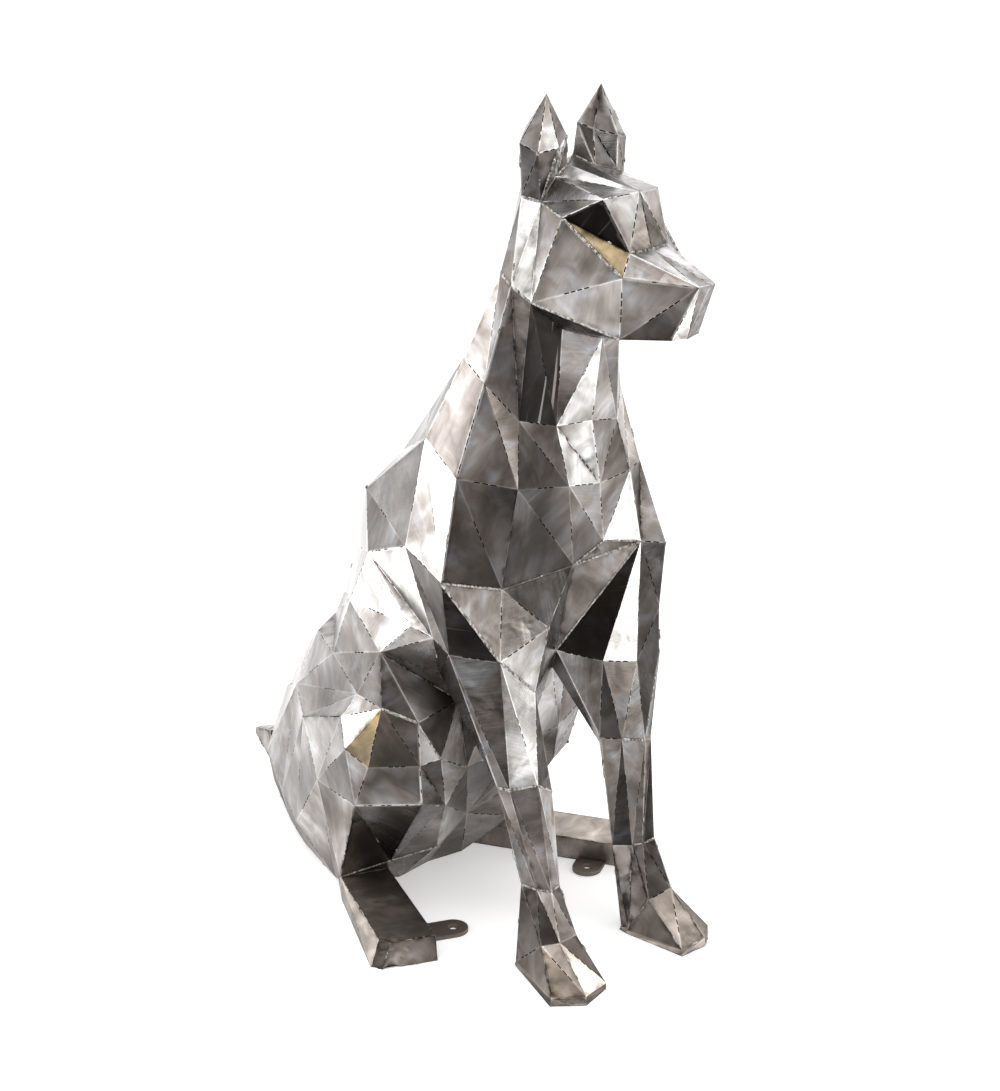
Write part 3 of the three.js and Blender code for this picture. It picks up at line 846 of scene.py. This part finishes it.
crossed = 0
for number, facet in enumerate(facets):
    loop = inner_loop(number, facet)
    origin = facet.points[0]
    facet.axes = flat_axes(facet)
    fill_step = fill_step_of(facet)
    flat_2d = []
    for v in loop:
        offset = shell.points[v] - origin
        flat_2d.append((offset.dot(facet.axes[0]), offset.dot(facet.axes[1])))
    low_x, high_x = min(p[0] for p in flat_2d), max(p[0] for p in flat_2d)
    low_y, high_y = min(p[1] for p in flat_2d), max(p[1] for p in flat_2d)
    extra = []
    for row in range(int((high_y - low_y) / (fill_step * 0.866)) + 1):
        for column in range(int((high_x - low_x) / fill_step) + 2):
            x = low_x + (column + 0.5 * (row % 2)) * fill_step + jitter.uniform(-0.2, 0.2) * fill_step
            y = low_y + (row + 0.3) * fill_step * 0.866 + jitter.uniform(-0.2, 0.2) * fill_step
            if inside(flat_2d, x, y):
                extra.append((x, y))
    if extra:
        spread = np.array([origin + facet.axes[0] * x + facet.axes[1] * y for x, y in extra])
        nearest, seam = distances_to_sides(facet, spread)
        kept = [i for i in range(len(extra)) if nearest[i] > facet.rim + 0.45 * fill_step]
    else:
        kept = []
    fill = [extra[i] for i in kept]
    numbers = list(loop)
    for i in kept:
        at = Vector(spread[i])
        ramp = 1 - math.exp(-((nearest[i] - facet.rim) / PULL_REACH) ** 1.5)
        wave = noise.noise(at * WAVE_SCALE + Vector((number, 0, 0))) * WAVE_DEPTH
        at += facet.normal * ramp * (wave - PULL_DEPTH)
        numbers.append(shell.point(at, facet.normal, nearest[i], seam[i]))
    boundary = [(i, (i + 1) % len(loop)) for i in range(len(loop))]
    made = delaunay_2d_cdt(
        [Vector(p) for p in flat_2d + fill], boundary, [list(range(len(loop)))], 1, 1e-9,
    )
    vertices, _, triangles, sources = made[:4]
    if not all(sources):
        # The flat's outline crosses itself somewhere, so it is filled from its outline alone.
        crossed += 1
        for triangle in tessellate_polygon([[Vector((x, y, 0)) for x, y in flat_2d]]):
            shell.face([loop[i] for i in triangle], number)
        continue
    for triangle in triangles:
        a, b, c = (vertices[i] for i in triangle)
        turn = (b - a).cross(c - a)
        shell.face([numbers[sources[i][0]] for i in (triangle if turn > 0 else triangle[::-1])], number)
print("points:", len(shell.points), "faces:", len(shell.faces), "crossed outlines:", crossed)

# %% Crumple the dented corners
for centre, reach, depth in CRUMPLES.values():
    for v, at in enumerate(shell.points):
        near = 1 - (at - centre).length / reach
        if near > 0:
            bend = abs(noise.noise(at * CRUMPLE_SCALE)) * 2.2 - 0.15
            shell.points[v] = at - shell.normals[v] * depth * min(1.0, near * 1.6) * bend

# %% [markdown]
# ## Shading of the plates
# The inner points of a flat shade smoothly over the waves. The rims blend from one facet's normal to the
# other's, so a fold catches a thin line of light. The pockets keep hard sides.

# %% Make the shell's mesh
points = np.array([tuple(p) for p in shell.points])
# Nothing may stand outside the solid's own box.
points = np.clip(points, np.array(cad_low), np.array(cad_high))
shell_object = mesh_object("welded_shell", points, shell.faces)
mesh = shell_object.data
triangle_count = sum(len(f) - 2 for f in shell.faces)
check = bmesh.new()
check.from_mesh(mesh)
open_edges = sum(not e.is_manifold for e in check.edges)
print("shell triangles:", triangle_count, "open edges:", open_edges)
print("volume litres:", round(check.calc_volume() * 1000, 2))
check.free()


def corner_normals(store, mesh):
    """One shading normal per face corner: smooth inside flats, given on rims, flat in the pockets."""
    face_normals = np.zeros(len(mesh.polygons) * 3)
    mesh.polygons.foreach_get("normal", face_normals)
    face_normals = face_normals.reshape(-1, 3)
    given = np.array([tuple(n) for n in store.normals])
    smooth = np.zeros_like(given)
    for loop, normal in zip(store.faces, face_normals):
        for v in loop:
            smooth[v] += normal
    smooth /= np.maximum(np.linalg.norm(smooth, axis=1, keepdims=True), 1e-9)
    free = np.array(store.edge_distance) > RIM * 1.01
    given[free] = smooth[free]
    found = []
    for loop, normal, dark in zip(store.faces, face_normals, store.face_dark):
        found += [tuple(normal)] * len(loop) if dark else [tuple(given[v]) for v in loop]
    return found


mesh.normals_split_custom_set(corner_normals(shell, mesh))

# %% Numbers that the material reads
STREAKED = 0.3  # from this share of scratches up, a plate's streaks run upright


def write_numbers(mesh, name, domain, values):
    mesh.attributes.new(name, "FLOAT", domain).data.foreach_set("value", np.array(values, dtype=np.float32))


def store_numbers(store, mesh):
    """Writes the store's distances and each plate's own numbers into the mesh."""
    for name, values in (
        ("edge_distance", store.edge_distance), ("seam_distance", store.seam_distance), ("line", store.line),
    ):
        write_numbers(mesh, name, "POINT", values)
    for name, table in (("tone_and_painted_light", tone_and_painted_light_of), ("straw", straw_of), ("matt", matt_of), ("scratch", scratch_of)):
        write_numbers(mesh, name, "FACE", [table[plate] for plate in store.face_plate])
    turned = []
    for number, facet in enumerate(facets):
        angle = 0.0 if abs(scratch_of[number]) > STREAKED else chance_of[number] * math.tau
        along, across = facet.axes
        first = along * math.cos(angle) + across * math.sin(angle)
        second = across * math.cos(angle) - along * math.sin(angle)
        turned.append((first, second))
    surface = np.zeros((len(mesh.loops), 3), dtype=np.float32)
    where = 0
    for polygon, plate in zip(mesh.polygons, store.face_plate):
        along, across = turned[plate]
        for v in polygon.vertices:
            at = mesh.vertices[v].co
            surface[where] = (at.dot(along), at.dot(across), plate * 0.7)
            where += 1
    mesh.attributes.new("plate_place", "FLOAT_VECTOR", "CORNER").data.foreach_set("vector", surface.ravel())


store_numbers(shell, mesh)
print("plate numbers:", len(tone_and_painted_light_of))

# %% [markdown]
# ## Rough welds
# A weld bead is a row of small frozen pools, one for each time the welder dipped the wire. The rough runs
# have a whole bead, some ground seams still have a short piece of one, and tack welds sit on some corners.

# %% Weld beads and tacks
BEAD_RADIUS = 1.35 * MM
BEAD_LUMP = 0.85 * MM
BEAD_PITCH = 2.9 * MM
BEAD_STEP = 1.1 * MM
BEAD_SIDES = 7
LEFT_OVER_SHARE = 0.3
TACK_RADIUS = 2.6 * MM
LEAST_HEIGHT = 1.0 * MM
weld_draw = random.Random(41)
weld_points, weld_faces = [], []


def add_tube(centres, radii, across, up):
    """A closed tube about a straight run of centres, with one point at either end."""
    first = len(weld_points)
    for centre, radius in zip(centres, radii):
        for k in range(BEAD_SIDES):
            turn = math.tau * k / BEAD_SIDES
            weld_points.append(centre + (across * math.cos(turn) + up * math.sin(turn)) * radius)
    for i in range(len(centres) - 1):
        for k in range(BEAD_SIDES):
            j = (k + 1) % BEAD_SIDES
            row, after = first + i * BEAD_SIDES, first + (i + 1) * BEAD_SIDES
            weld_faces.append((row + k, after + k, after + j, row + j))
    last = first + (len(centres) - 1) * BEAD_SIDES
    weld_points.append(centres[0])
    weld_points.append(centres[-1])
    for k in range(BEAD_SIDES):
        j = (k + 1) % BEAD_SIDES
        weld_faces.append((len(weld_points) - 2, first + k, first + j))
        weld_faces.append((len(weld_points) - 1, last + j, last + k))


def add_bead(edge, low, high, size):
    """A bead on an edge between two distances along it."""
    axis = edge.span.normalized()
    up = edge.outward
    across = up.cross(axis)
    count = max(4, round((high - low) / BEAD_STEP))
    centres, radii = [], []
    for i in range(count + 1):
        s = low + (high - low) * i / count
        at = edge.start + axis * s
        sway = noise.noise(at * 400) * 0.5 * MM
        lump = abs(math.sin(math.pi * s / BEAD_PITCH + 3 * noise.noise(at * 90)))
        radius = size * (BEAD_RADIUS + BEAD_LUMP * lump * (0.7 + noise.noise(at * 150)))
        taper = min(1.0, 0.45 + 0.55 * min(i, count - i) / 2)
        centres.append(at + across * sway - up * 0.45 * MM)
        radii.append(max(radius * taper, 0.4 * MM))
    add_tube(centres, radii, across, up)


def add_tack(at, up, radius):
    """A low round button with a pit in the middle."""
    across = up.orthogonal().normalized()
    other = up.cross(across)
    profile = ((0.0, -0.1), (0.35, 0.05), (0.6, 0.3), (0.85, 0.15), (1.0, -0.45))
    sides = 10
    first = len(weld_points)
    weld_points.append(at + up * profile[0][1] * radius)
    for share, height in profile[1:]:
        for k in range(sides):
            turn = math.tau * k / sides
            out = (across * math.cos(turn) + other * math.sin(turn)) * share * radius
            weld_points.append(at + out * (1 + 0.12 * noise.noise((at + out) * 700)) + up * height * radius)
    weld_points.append(at - up * radius)
    rings = len(profile) - 1
    for k in range(sides):
        j = (k + 1) % sides
        weld_faces.append((first, first + 1 + k, first + 1 + j))
        for r in range(rings - 1):
            row, after = first + 1 + r * sides, first + 1 + (r + 1) * sides
            weld_faces.append((row + k, after + k, after + j, row + j))
        outer = first + 1 + (rings - 1) * sides
        weld_faces.append((outer + k, len(weld_points) - 1, outer + j))


beads = tacks = 0
for edge in joins.values():
    if edge.rough:
        add_bead(edge, 0.5 * MM, edge.length - 0.5 * MM, weld_draw.uniform(0.85, 1.15))
        beads += 1
    elif edge.seam and edge.length > 30 * MM and weld_draw.random() < LEFT_OVER_SHARE:
        length = weld_draw.uniform(5, 16) * MM
        low = weld_draw.uniform(0.1, 0.9) * (edge.length - length)
        add_bead(edge, low, low + length, weld_draw.uniform(0.6, 0.8))
        beads += 1
for index, numbers in touching.items():
    normals = [facets[n].normal for n in numbers]
    up = sum(normals, Vector()).normalized()
    flattest = min(up.dot(n) for n in normals)
    if corners[index].z > 60 * MM and weld_draw.random() < 0.3 and flattest > 0.86:
        add_tack(corners[index] + up * 0.1 * MM, up, weld_draw.uniform(0.75, 1.1) * TACK_RADIUS)
        tacks += 1
weld_points = np.clip(np.array([tuple(p) for p in weld_points]), np.array(cad_low), np.array(cad_high))
weld_points[:, 2] = np.maximum(weld_points[:, 2], LEAST_HEIGHT)
weld_object = mesh_object("weld_beads", weld_points, weld_faces)
weld_object.data.shade_smooth()
print("beads:", beads, "tacks:", tacks, "weld faces:", len(weld_faces))

# %% [markdown]
# ## Ground steel
# The base colour is the plate's tone, which is partly painted reflection and shade, times soft clouds and
# smears, partly grinding marks and partly painted reflection. The rims are polished bright by the grinder and
# carry a painted highlight, the sooty seams carry painted shade, and the metal beside a seam is smoked brown.
# The bump is the grinder's fine brushing.

# %% Ground steel
STEEL_BRIGHT = (1.03, 0.995, 0.962, 1)
STEEL_DARK = (1.16, 0.975, 0.87, 1)
STEEL_COOL = (0.965, 0.985, 1.04, 1)
STEEL_BROWN = (1.17, 0.985, 0.85, 1)
STRAW = (0.62, 0.45, 0.22, 1)
CLOUD_AND_REFLECTION_POWER = 5.4
SMEAR_POWER = 2.4
MOTTLE_AND_REFLECTION_POWER = 3.0


def attribute(tree, name):
    return node(tree, "ShaderNodeAttribute", attribute_name=name)


def math_node(tree, operation, first, second=0.0, clamp=False):
    made = node(tree, "ShaderNodeMath", {0: first, 1: second}, operation=operation, use_clamp=clamp)
    return made.outputs[0]


def remap(tree, value, low, high, out_low, out_high):
    """Maps low...high of a value to out_low...out_high."""
    made = node(tree, "ShaderNodeMapRange", {0: value, 1: low, 2: high, 3: out_low, 4: out_high})
    return made.outputs[0]


def ramp_down(tree, value, near, far):
    """1 below near, 0 above far, smooth between."""
    return node(tree, "ShaderNodeMapRange", {0: value, 1: near, 2: far, 3: 1.0, 4: 0.0},
                interpolation_type="SMOOTHSTEP").outputs[0]


def plate_noise(tree, place_socket, scale, detail=2.0, turn=0.0, distortion=0.0):
    """Noise over a plate's own surface; scale is (along, across) in cycles a metre."""
    moved = node(tree, "ShaderNodeMapping", {
        "Vector": place_socket, "Rotation": (0, 0, turn), "Scale": (scale[0], scale[1], 1.0),
    })
    made = node(tree, "ShaderNodeTexNoise", {
        "Vector": moved.outputs[0], "Scale": 1.0, "Detail": detail, "Roughness": 0.55,
        "Distortion": distortion,
    })
    return made.outputs[0]


def mix_colour(tree, share, first, second, blend="MIX"):
    made = node(tree, "ShaderNodeMix", {
        0: share, 6: first, 7: second,
    }, data_type="RGBA", blend_type=blend)
    return made.outputs[2]


def grey(tree, value):
    return node(tree, "ShaderNodeCombineColor", {0: value, 1: value, 2: value}).outputs[0]


def ground_steel():
    made = material_of("ground_steel")
    tree = made.node_tree
    where = attribute(tree, "plate_place").outputs["Vector"]
    tone_and_painted_light = attribute(tree, "tone_and_painted_light").outputs["Fac"]
    straw = attribute(tree, "straw").outputs["Fac"]
    matt = attribute(tree, "matt").outputs["Fac"]
    scratch = attribute(tree, "scratch").outputs["Fac"]
    edge = attribute(tree, "edge_distance").outputs["Fac"]
    seam = attribute(tree, "seam_distance").outputs["Fac"]
    line = attribute(tree, "line").outputs["Fac"]
    clouds = plate_noise(tree, where, (7, 7), 1.6, distortion=0.5)
    smears = plate_noise(tree, where, (3.5, 24), 2.0, distortion=0.25)
    patches = plate_noise(tree, where, (60, 60), 3.0)
    mottle = plate_noise(tree, where, (26, 32), 2.5, turn=0.6, distortion=0.7)
    brush = plate_noise(tree, where, (30, 700), 2.0)
    cross_brush = plate_noise(tree, where, (22, 420), 2.0, turn=1.1)
    # Painted reflection, in part: the clouds and mottle stand for the room's reflection breaking up across a
    # plate, as well as for grinding marks.
    power = math_node(tree, "MULTIPLY", math_node(tree, "SUBTRACT", clouds, 0.5), CLOUD_AND_REFLECTION_POWER)
    smear = math_node(tree, "MULTIPLY", math_node(tree, "SUBTRACT", smears, 0.5), SMEAR_POWER)
    fine = math_node(tree, "MULTIPLY", math_node(tree, "SUBTRACT", brush, 0.5), 0.5)
    spots = math_node(tree, "MULTIPLY", math_node(tree, "SUBTRACT", mottle, 0.5), MOTTLE_AND_REFLECTION_POWER)
    power = math_node(tree, "ADD", math_node(tree, "ADD", math_node(tree, "ADD", power, smear), fine), spots)
    # The tone is partly painted reflection and shade, so this base colour carries painted light.
    value = math_node(tree, "MULTIPLY", math_node(tree, "POWER", 2.0, power), tone_and_painted_light)
    # Long thin scratches: dark ones where scratch is above 0, bright ones below 0.
    lines = plate_noise(tree, where, (5, 210), 1.0, turn=0.12)
    thin = node(tree, "ShaderNodeMapRange", {0: lines, 1: 0.63, 2: 0.7, 3: 0.0, 4: 1.0}).outputs[0]
    darker = math_node(tree, "MULTIPLY", thin, math_node(tree, "MAXIMUM", scratch, 0.0))
    left = math_node(tree, "SUBTRACT", 1.0, math_node(tree, "MULTIPLY", darker, 0.9))
    value = math_node(tree, "MULTIPLY", value, left)
    bright_share = math_node(tree, "MAXIMUM", math_node(tree, "MULTIPLY", scratch, -1.0), 0.0)
    brighter = math_node(tree, "MULTIPLY", thin, bright_share)
    value = math_node(tree, "ADD", value, math_node(tree, "MULTIPLY", brighter, 0.16))
    # The grinder polishes the rims of the seams, and hardly touches the folds. The bright seam line is partly
    # that polish and partly a painted highlight; the dark seam line is partly soot and partly painted shade.
    rim = ramp_down(tree, edge, 0.0005, 0.0015)
    beside_seam = ramp_down(tree, seam, 0.0011, 0.003)
    broken = node(tree, "ShaderNodeMapRange", {0: patches, 1: 0.36, 2: 0.58, 3: 0.25, 4: 1.0}).outputs[0]
    polish_and_painted_highlight = node(tree, "ShaderNodeMapRange", {0: line, 1: 0.5, 2: 1.0, 3: 0.0, 4: 1.0}).outputs[0]
    sooty = node(tree, "ShaderNodeMapRange", {0: line, 1: 0.0, 2: 0.5, 3: 0.85, 4: 0.0}).outputs[0]
    bright = math_node(tree, "MULTIPLY", math_node(tree, "MULTIPLY", beside_seam, broken), polish_and_painted_highlight)
    lifted = math_node(tree, "ADD", math_node(tree, "MULTIPLY", tone_and_painted_light, 1.3), 0.25)
    polished_and_lit = math_node(tree, "MINIMUM", lifted, 0.85)
    value = node(tree, "ShaderNodeMix", {0: bright, 2: value, 3: polished_and_lit}, data_type="FLOAT").outputs[0]
    soot_and_painted_shade = math_node(tree, "MULTIPLY", math_node(tree, "MULTIPLY", beside_seam, broken), sooty)
    value = math_node(tree, "MULTIPLY", value, math_node(tree, "SUBTRACT", 1.0, soot_and_painted_shade))
    # A painted highlight: every rim, of folds and seams alike, is made up to half as bright again, where a
    # rounded edge catches light.
    rim_painted_highlight = math_node(tree, "MULTIPLY", rim, 0.5)
    value = math_node(tree, "MULTIPLY", value, math_node(tree, "ADD", rim_painted_highlight, 1.0))
    # Smoke beside the seams.
    smoke = ramp_down(tree, seam, 0.002, 0.008)
    smoke = math_node(tree, "MULTIPLY", smoke, remap(tree, patches, 0.45, 0.7, 0.0, 0.5))
    value = math_node(tree, "MULTIPLY", value, math_node(tree, "SUBTRACT", 1.0, smoke))
    value = math_node(tree, "MINIMUM", value, 0.86)
    tint_share = node(tree, "ShaderNodeMapRange", {0: value, 1: 0.02, 2: 0.4, 3: 0.0, 4: 1.0}).outputs[0]
    tint = mix_colour(tree, tint_share, STEEL_DARK, STEEL_BRIGHT)
    cool_share = node(tree, "ShaderNodeMapRange", {0: mottle, 1: 0.48, 2: 0.68, 3: 0.0, 4: 0.75}).outputs[0]
    tint = mix_colour(tree, cool_share, tint, STEEL_COOL)
    tint = mix_colour(tree, math_node(tree, "MULTIPLY", matt, 0.7), tint, STEEL_BROWN)
    colour = mix_colour(tree, 1.0, tint, grey(tree, value), "MULTIPLY")
    golden = mix_colour(tree, 1.0, STRAW, grey(tree, math_node(tree, "MULTIPLY", value, 1.9)), "MULTIPLY")
    straw_share = math_node(tree, "MULTIPLY", straw, remap(tree, clouds, 0.35, 0.6, 0.35, 1.0))
    colour = mix_colour(tree, straw_share, colour, golden)
    rough = node(tree, "ShaderNodeMapRange", {0: clouds, 1: 0.3, 2: 0.7, 3: 0.34, 4: 0.2}).outputs[0]
    rough = math_node(tree, "ADD", rough, math_node(tree, "MULTIPLY", smoke, 0.25))
    rough = math_node(tree, "ADD", rough, math_node(tree, "MULTIPLY", matt, 0.16))
    brushed = math_node(tree, "MULTIPLY", math_node(tree, "SUBTRACT", cross_brush, 0.5), 0.12)
    rough = math_node(tree, "ADD", rough, brushed, clamp=True)
    height = math_node(tree, "ADD", brush, math_node(tree, "MULTIPLY", cross_brush, 0.6))
    fine_bump = node(tree, "ShaderNodeBump", {"Strength": 1.0, "Distance": 0.00003, "Height": height})
    dents = plate_noise(tree, where, (26, 26), 2.0, distortion=0.4)
    bump = node(tree, "ShaderNodeBump", {
        "Strength": 1.0, "Distance": 0.0012, "Height": dents, "Normal": fine_bump.outputs[0],
    })
    surface = node(tree, "ShaderNodeBsdfPrincipled", {
        "Base Color": colour, "Metallic": 1.0, "Roughness": rough, "Normal": bump.outputs[0],
    })
    node(tree, "ShaderNodeOutputMaterial", {"Surface": surface.outputs[0]})
    return made


def painted_shade_pocket():
    """The inside of a slot: bare cut walls, painted near black as painted shade."""
    made = material_of("painted_shade_pocket")
    tree = made.node_tree
    specks = node(tree, "ShaderNodeTexNoise", {"Scale": 900.0, "Detail": 2.0})
    colour = mix_colour(tree, specks.outputs[0], (0.006, 0.005, 0.004, 1), (0.035, 0.028, 0.022, 1))
    bump = node(tree, "ShaderNodeBump", {"Strength": 0.5, "Distance": 0.0002, "Height": specks.outputs[0]})
    surface = node(tree, "ShaderNodeBsdfPrincipled", {
        "Base Color": colour, "Metallic": 0.3, "Roughness": 0.8, "Normal": bump.outputs[0],
    })
    node(tree, "ShaderNodeOutputMaterial", {"Surface": surface.outputs[0]})
    return made


def weld_metal():
    """Weld metal: brighter patches where the grinder touched it and darker smoked ones, spread at random by
    noise.
    """
    made = material_of("weld_metal")
    tree = made.node_tree
    spots = node(tree, "ShaderNodeTexNoise", {"Scale": 160.0, "Detail": 3.0, "Roughness": 0.6})
    pools = node(tree, "ShaderNodeTexNoise", {"Scale": 900.0, "Detail": 2.0})
    share = node(tree, "ShaderNodeMapRange", {0: spots.outputs[0], 1: 0.36, 2: 0.62, 3: 0.0, 4: 1.0})
    colour = mix_colour(tree, share.outputs[0], (0.07, 0.058, 0.048, 1), (0.5, 0.48, 0.455, 1))
    rough = node(tree, "ShaderNodeMapRange", {0: spots.outputs[0], 1: 0.3, 2: 0.7, 3: 0.5, 4: 0.27})
    bump = node(tree, "ShaderNodeBump", {"Strength": 1.0, "Distance": 0.00025, "Height": pools.outputs[0]})
    surface = node(tree, "ShaderNodeBsdfPrincipled", {
        "Base Color": colour, "Metallic": 1.0, "Roughness": rough.outputs[0], "Normal": bump.outputs[0],
    })
    node(tree, "ShaderNodeOutputMaterial", {"Surface": surface.outputs[0]})
    return made


def mill_scale():
    """Hot-rolled bar as it comes: a grey-brown skin of scale, rubbed bright on its edges."""
    made = material_of("mill_scale")
    tree = made.node_tree
    wear = attribute(tree, "wear").outputs["Fac"]
    skin = node(tree, "ShaderNodeTexNoise", {"Scale": 70.0, "Detail": 4.0, "Roughness": 0.6})
    rust = node(tree, "ShaderNodeTexNoise", {"Scale": 38.0, "Detail": 3.0, "Distortion": 0.6})
    grain = node(tree, "ShaderNodeTexNoise", {"Scale": 1100.0, "Detail": 2.0})
    colour = mix_colour(tree, skin.outputs[0], (0.1, 0.085, 0.074, 1), (0.24, 0.2, 0.175, 1))
    rust_share = node(tree, "ShaderNodeMapRange", {0: rust.outputs[0], 1: 0.54, 2: 0.72, 3: 0.0, 4: 0.6})
    colour = mix_colour(tree, rust_share.outputs[0], colour, (0.12, 0.06, 0.034, 1))
    rubbed = node(tree, "ShaderNodeMapRange", {0: skin.outputs[0], 1: 0.42, 2: 0.6, 3: 0.0, 4: 0.8})
    edge_share = math_node(tree, "MULTIPLY", wear, rubbed.outputs[0])
    colour = mix_colour(tree, edge_share, colour, (0.36, 0.335, 0.31, 1))
    rough = node(tree, "ShaderNodeMapRange", {0: skin.outputs[0], 1: 0.3, 2: 0.7, 3: 0.42, 4: 0.6})
    height = math_node(tree, "ADD", grain.outputs[0], math_node(tree, "MULTIPLY", skin.outputs[0], 2.0))
    bump = node(tree, "ShaderNodeBump", {"Strength": 1.0, "Distance": 0.00012, "Height": height})
    surface = node(tree, "ShaderNodeBsdfPrincipled", {
        "Base Color": colour, "Metallic": 0.75, "Roughness": rough.outputs[0], "Normal": bump.outputs[0],
    })
    node(tree, "ShaderNodeOutputMaterial", {"Surface": surface.outputs[0]})
    return made


# %% [markdown]
# ## The fixing lugs
# Each lug is a short flat bar, welded under a hind foot's side, with a round end and a bolt hole. The bar
# keeps its solid's shape with its sharp edges broken by half a millimetre.

# %% Lugs
EDGE_BREAK = 0.5 * MM
SHARP_CORNER = math.radians(40)
SMOOTH_UP_TO = math.radians(35)
WORN_AREA = 4e-6  # square metres; the faces of a broken edge are smaller than this


def bevelled_lug(name, cad_node):
    """The lug's solid with its sharp edges broken, and a mark on the rubbed faces of those edges."""
    bm = bmesh.new()
    bm.from_mesh(cad_node.data)
    bmesh.ops.remove_doubles(bm, verts=bm.verts, dist=SAME_POINT)
    bmesh.ops.dissolve_limit(bm, angle_limit=FLAT_ANGLE, verts=bm.verts, edges=bm.edges)
    sharp = [e for e in bm.edges if e.calc_face_angle(0) > SHARP_CORNER]
    bmesh.ops.bevel(bm, geom=sharp, offset=EDGE_BREAK, segments=3, profile=0.5, affect="EDGES")
    bmesh.ops.triangulate(bm, faces=[f for f in bm.faces if len(f.verts) > 4])
    bm.faces.index_update()
    worn = [f.calc_area() < WORN_AREA for f in bm.faces]
    lug_mesh = bpy.data.meshes.new(name)
    bm.to_mesh(lug_mesh)
    bm.free()
    lug = bpy.data.objects.new(name, lug_mesh)
    bpy.context.scene.collection.objects.link(lug)
    lug_mesh.shade_smooth()
    lug_mesh.set_sharp_from_angle(angle=SMOOTH_UP_TO)
    write_numbers(lug_mesh, "wear", "FACE", worn)
    return lug


# %% Dress every piece
lug_right = bevelled_lug("lug_right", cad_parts["fixing_lug_right"])
lug_left = bevelled_lug("lug_left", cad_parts["fixing_lug_left"])
mesh.materials.append(ground_steel())
mesh.materials.append(painted_shade_pocket())
for face, dark in zip(mesh.polygons, shell.face_dark):
    face.material_index = int(dark)
weld_object.data.materials.append(weld_metal())
scale_skin = mill_scale()
DRESS = {
    # piece: (the CAD node it stands for, material slot)
    shell_object: ("dog_body", "ground_steel"),
    weld_object: (None, "ground_steel"),
    lug_right: ("fixing_lug_right", "mill_scale_steel"),
    lug_left: ("fixing_lug_left", "mill_scale_steel"),
}
for piece, (stands_for, slot) in DRESS.items():
    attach(piece, "root")
    if stands_for:
        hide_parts(stands_for)
    if slot == "mill_scale_steel":
        piece.data.materials.append(scale_skin)
    print(piece.name, len(piece.data.polygons), "faces")
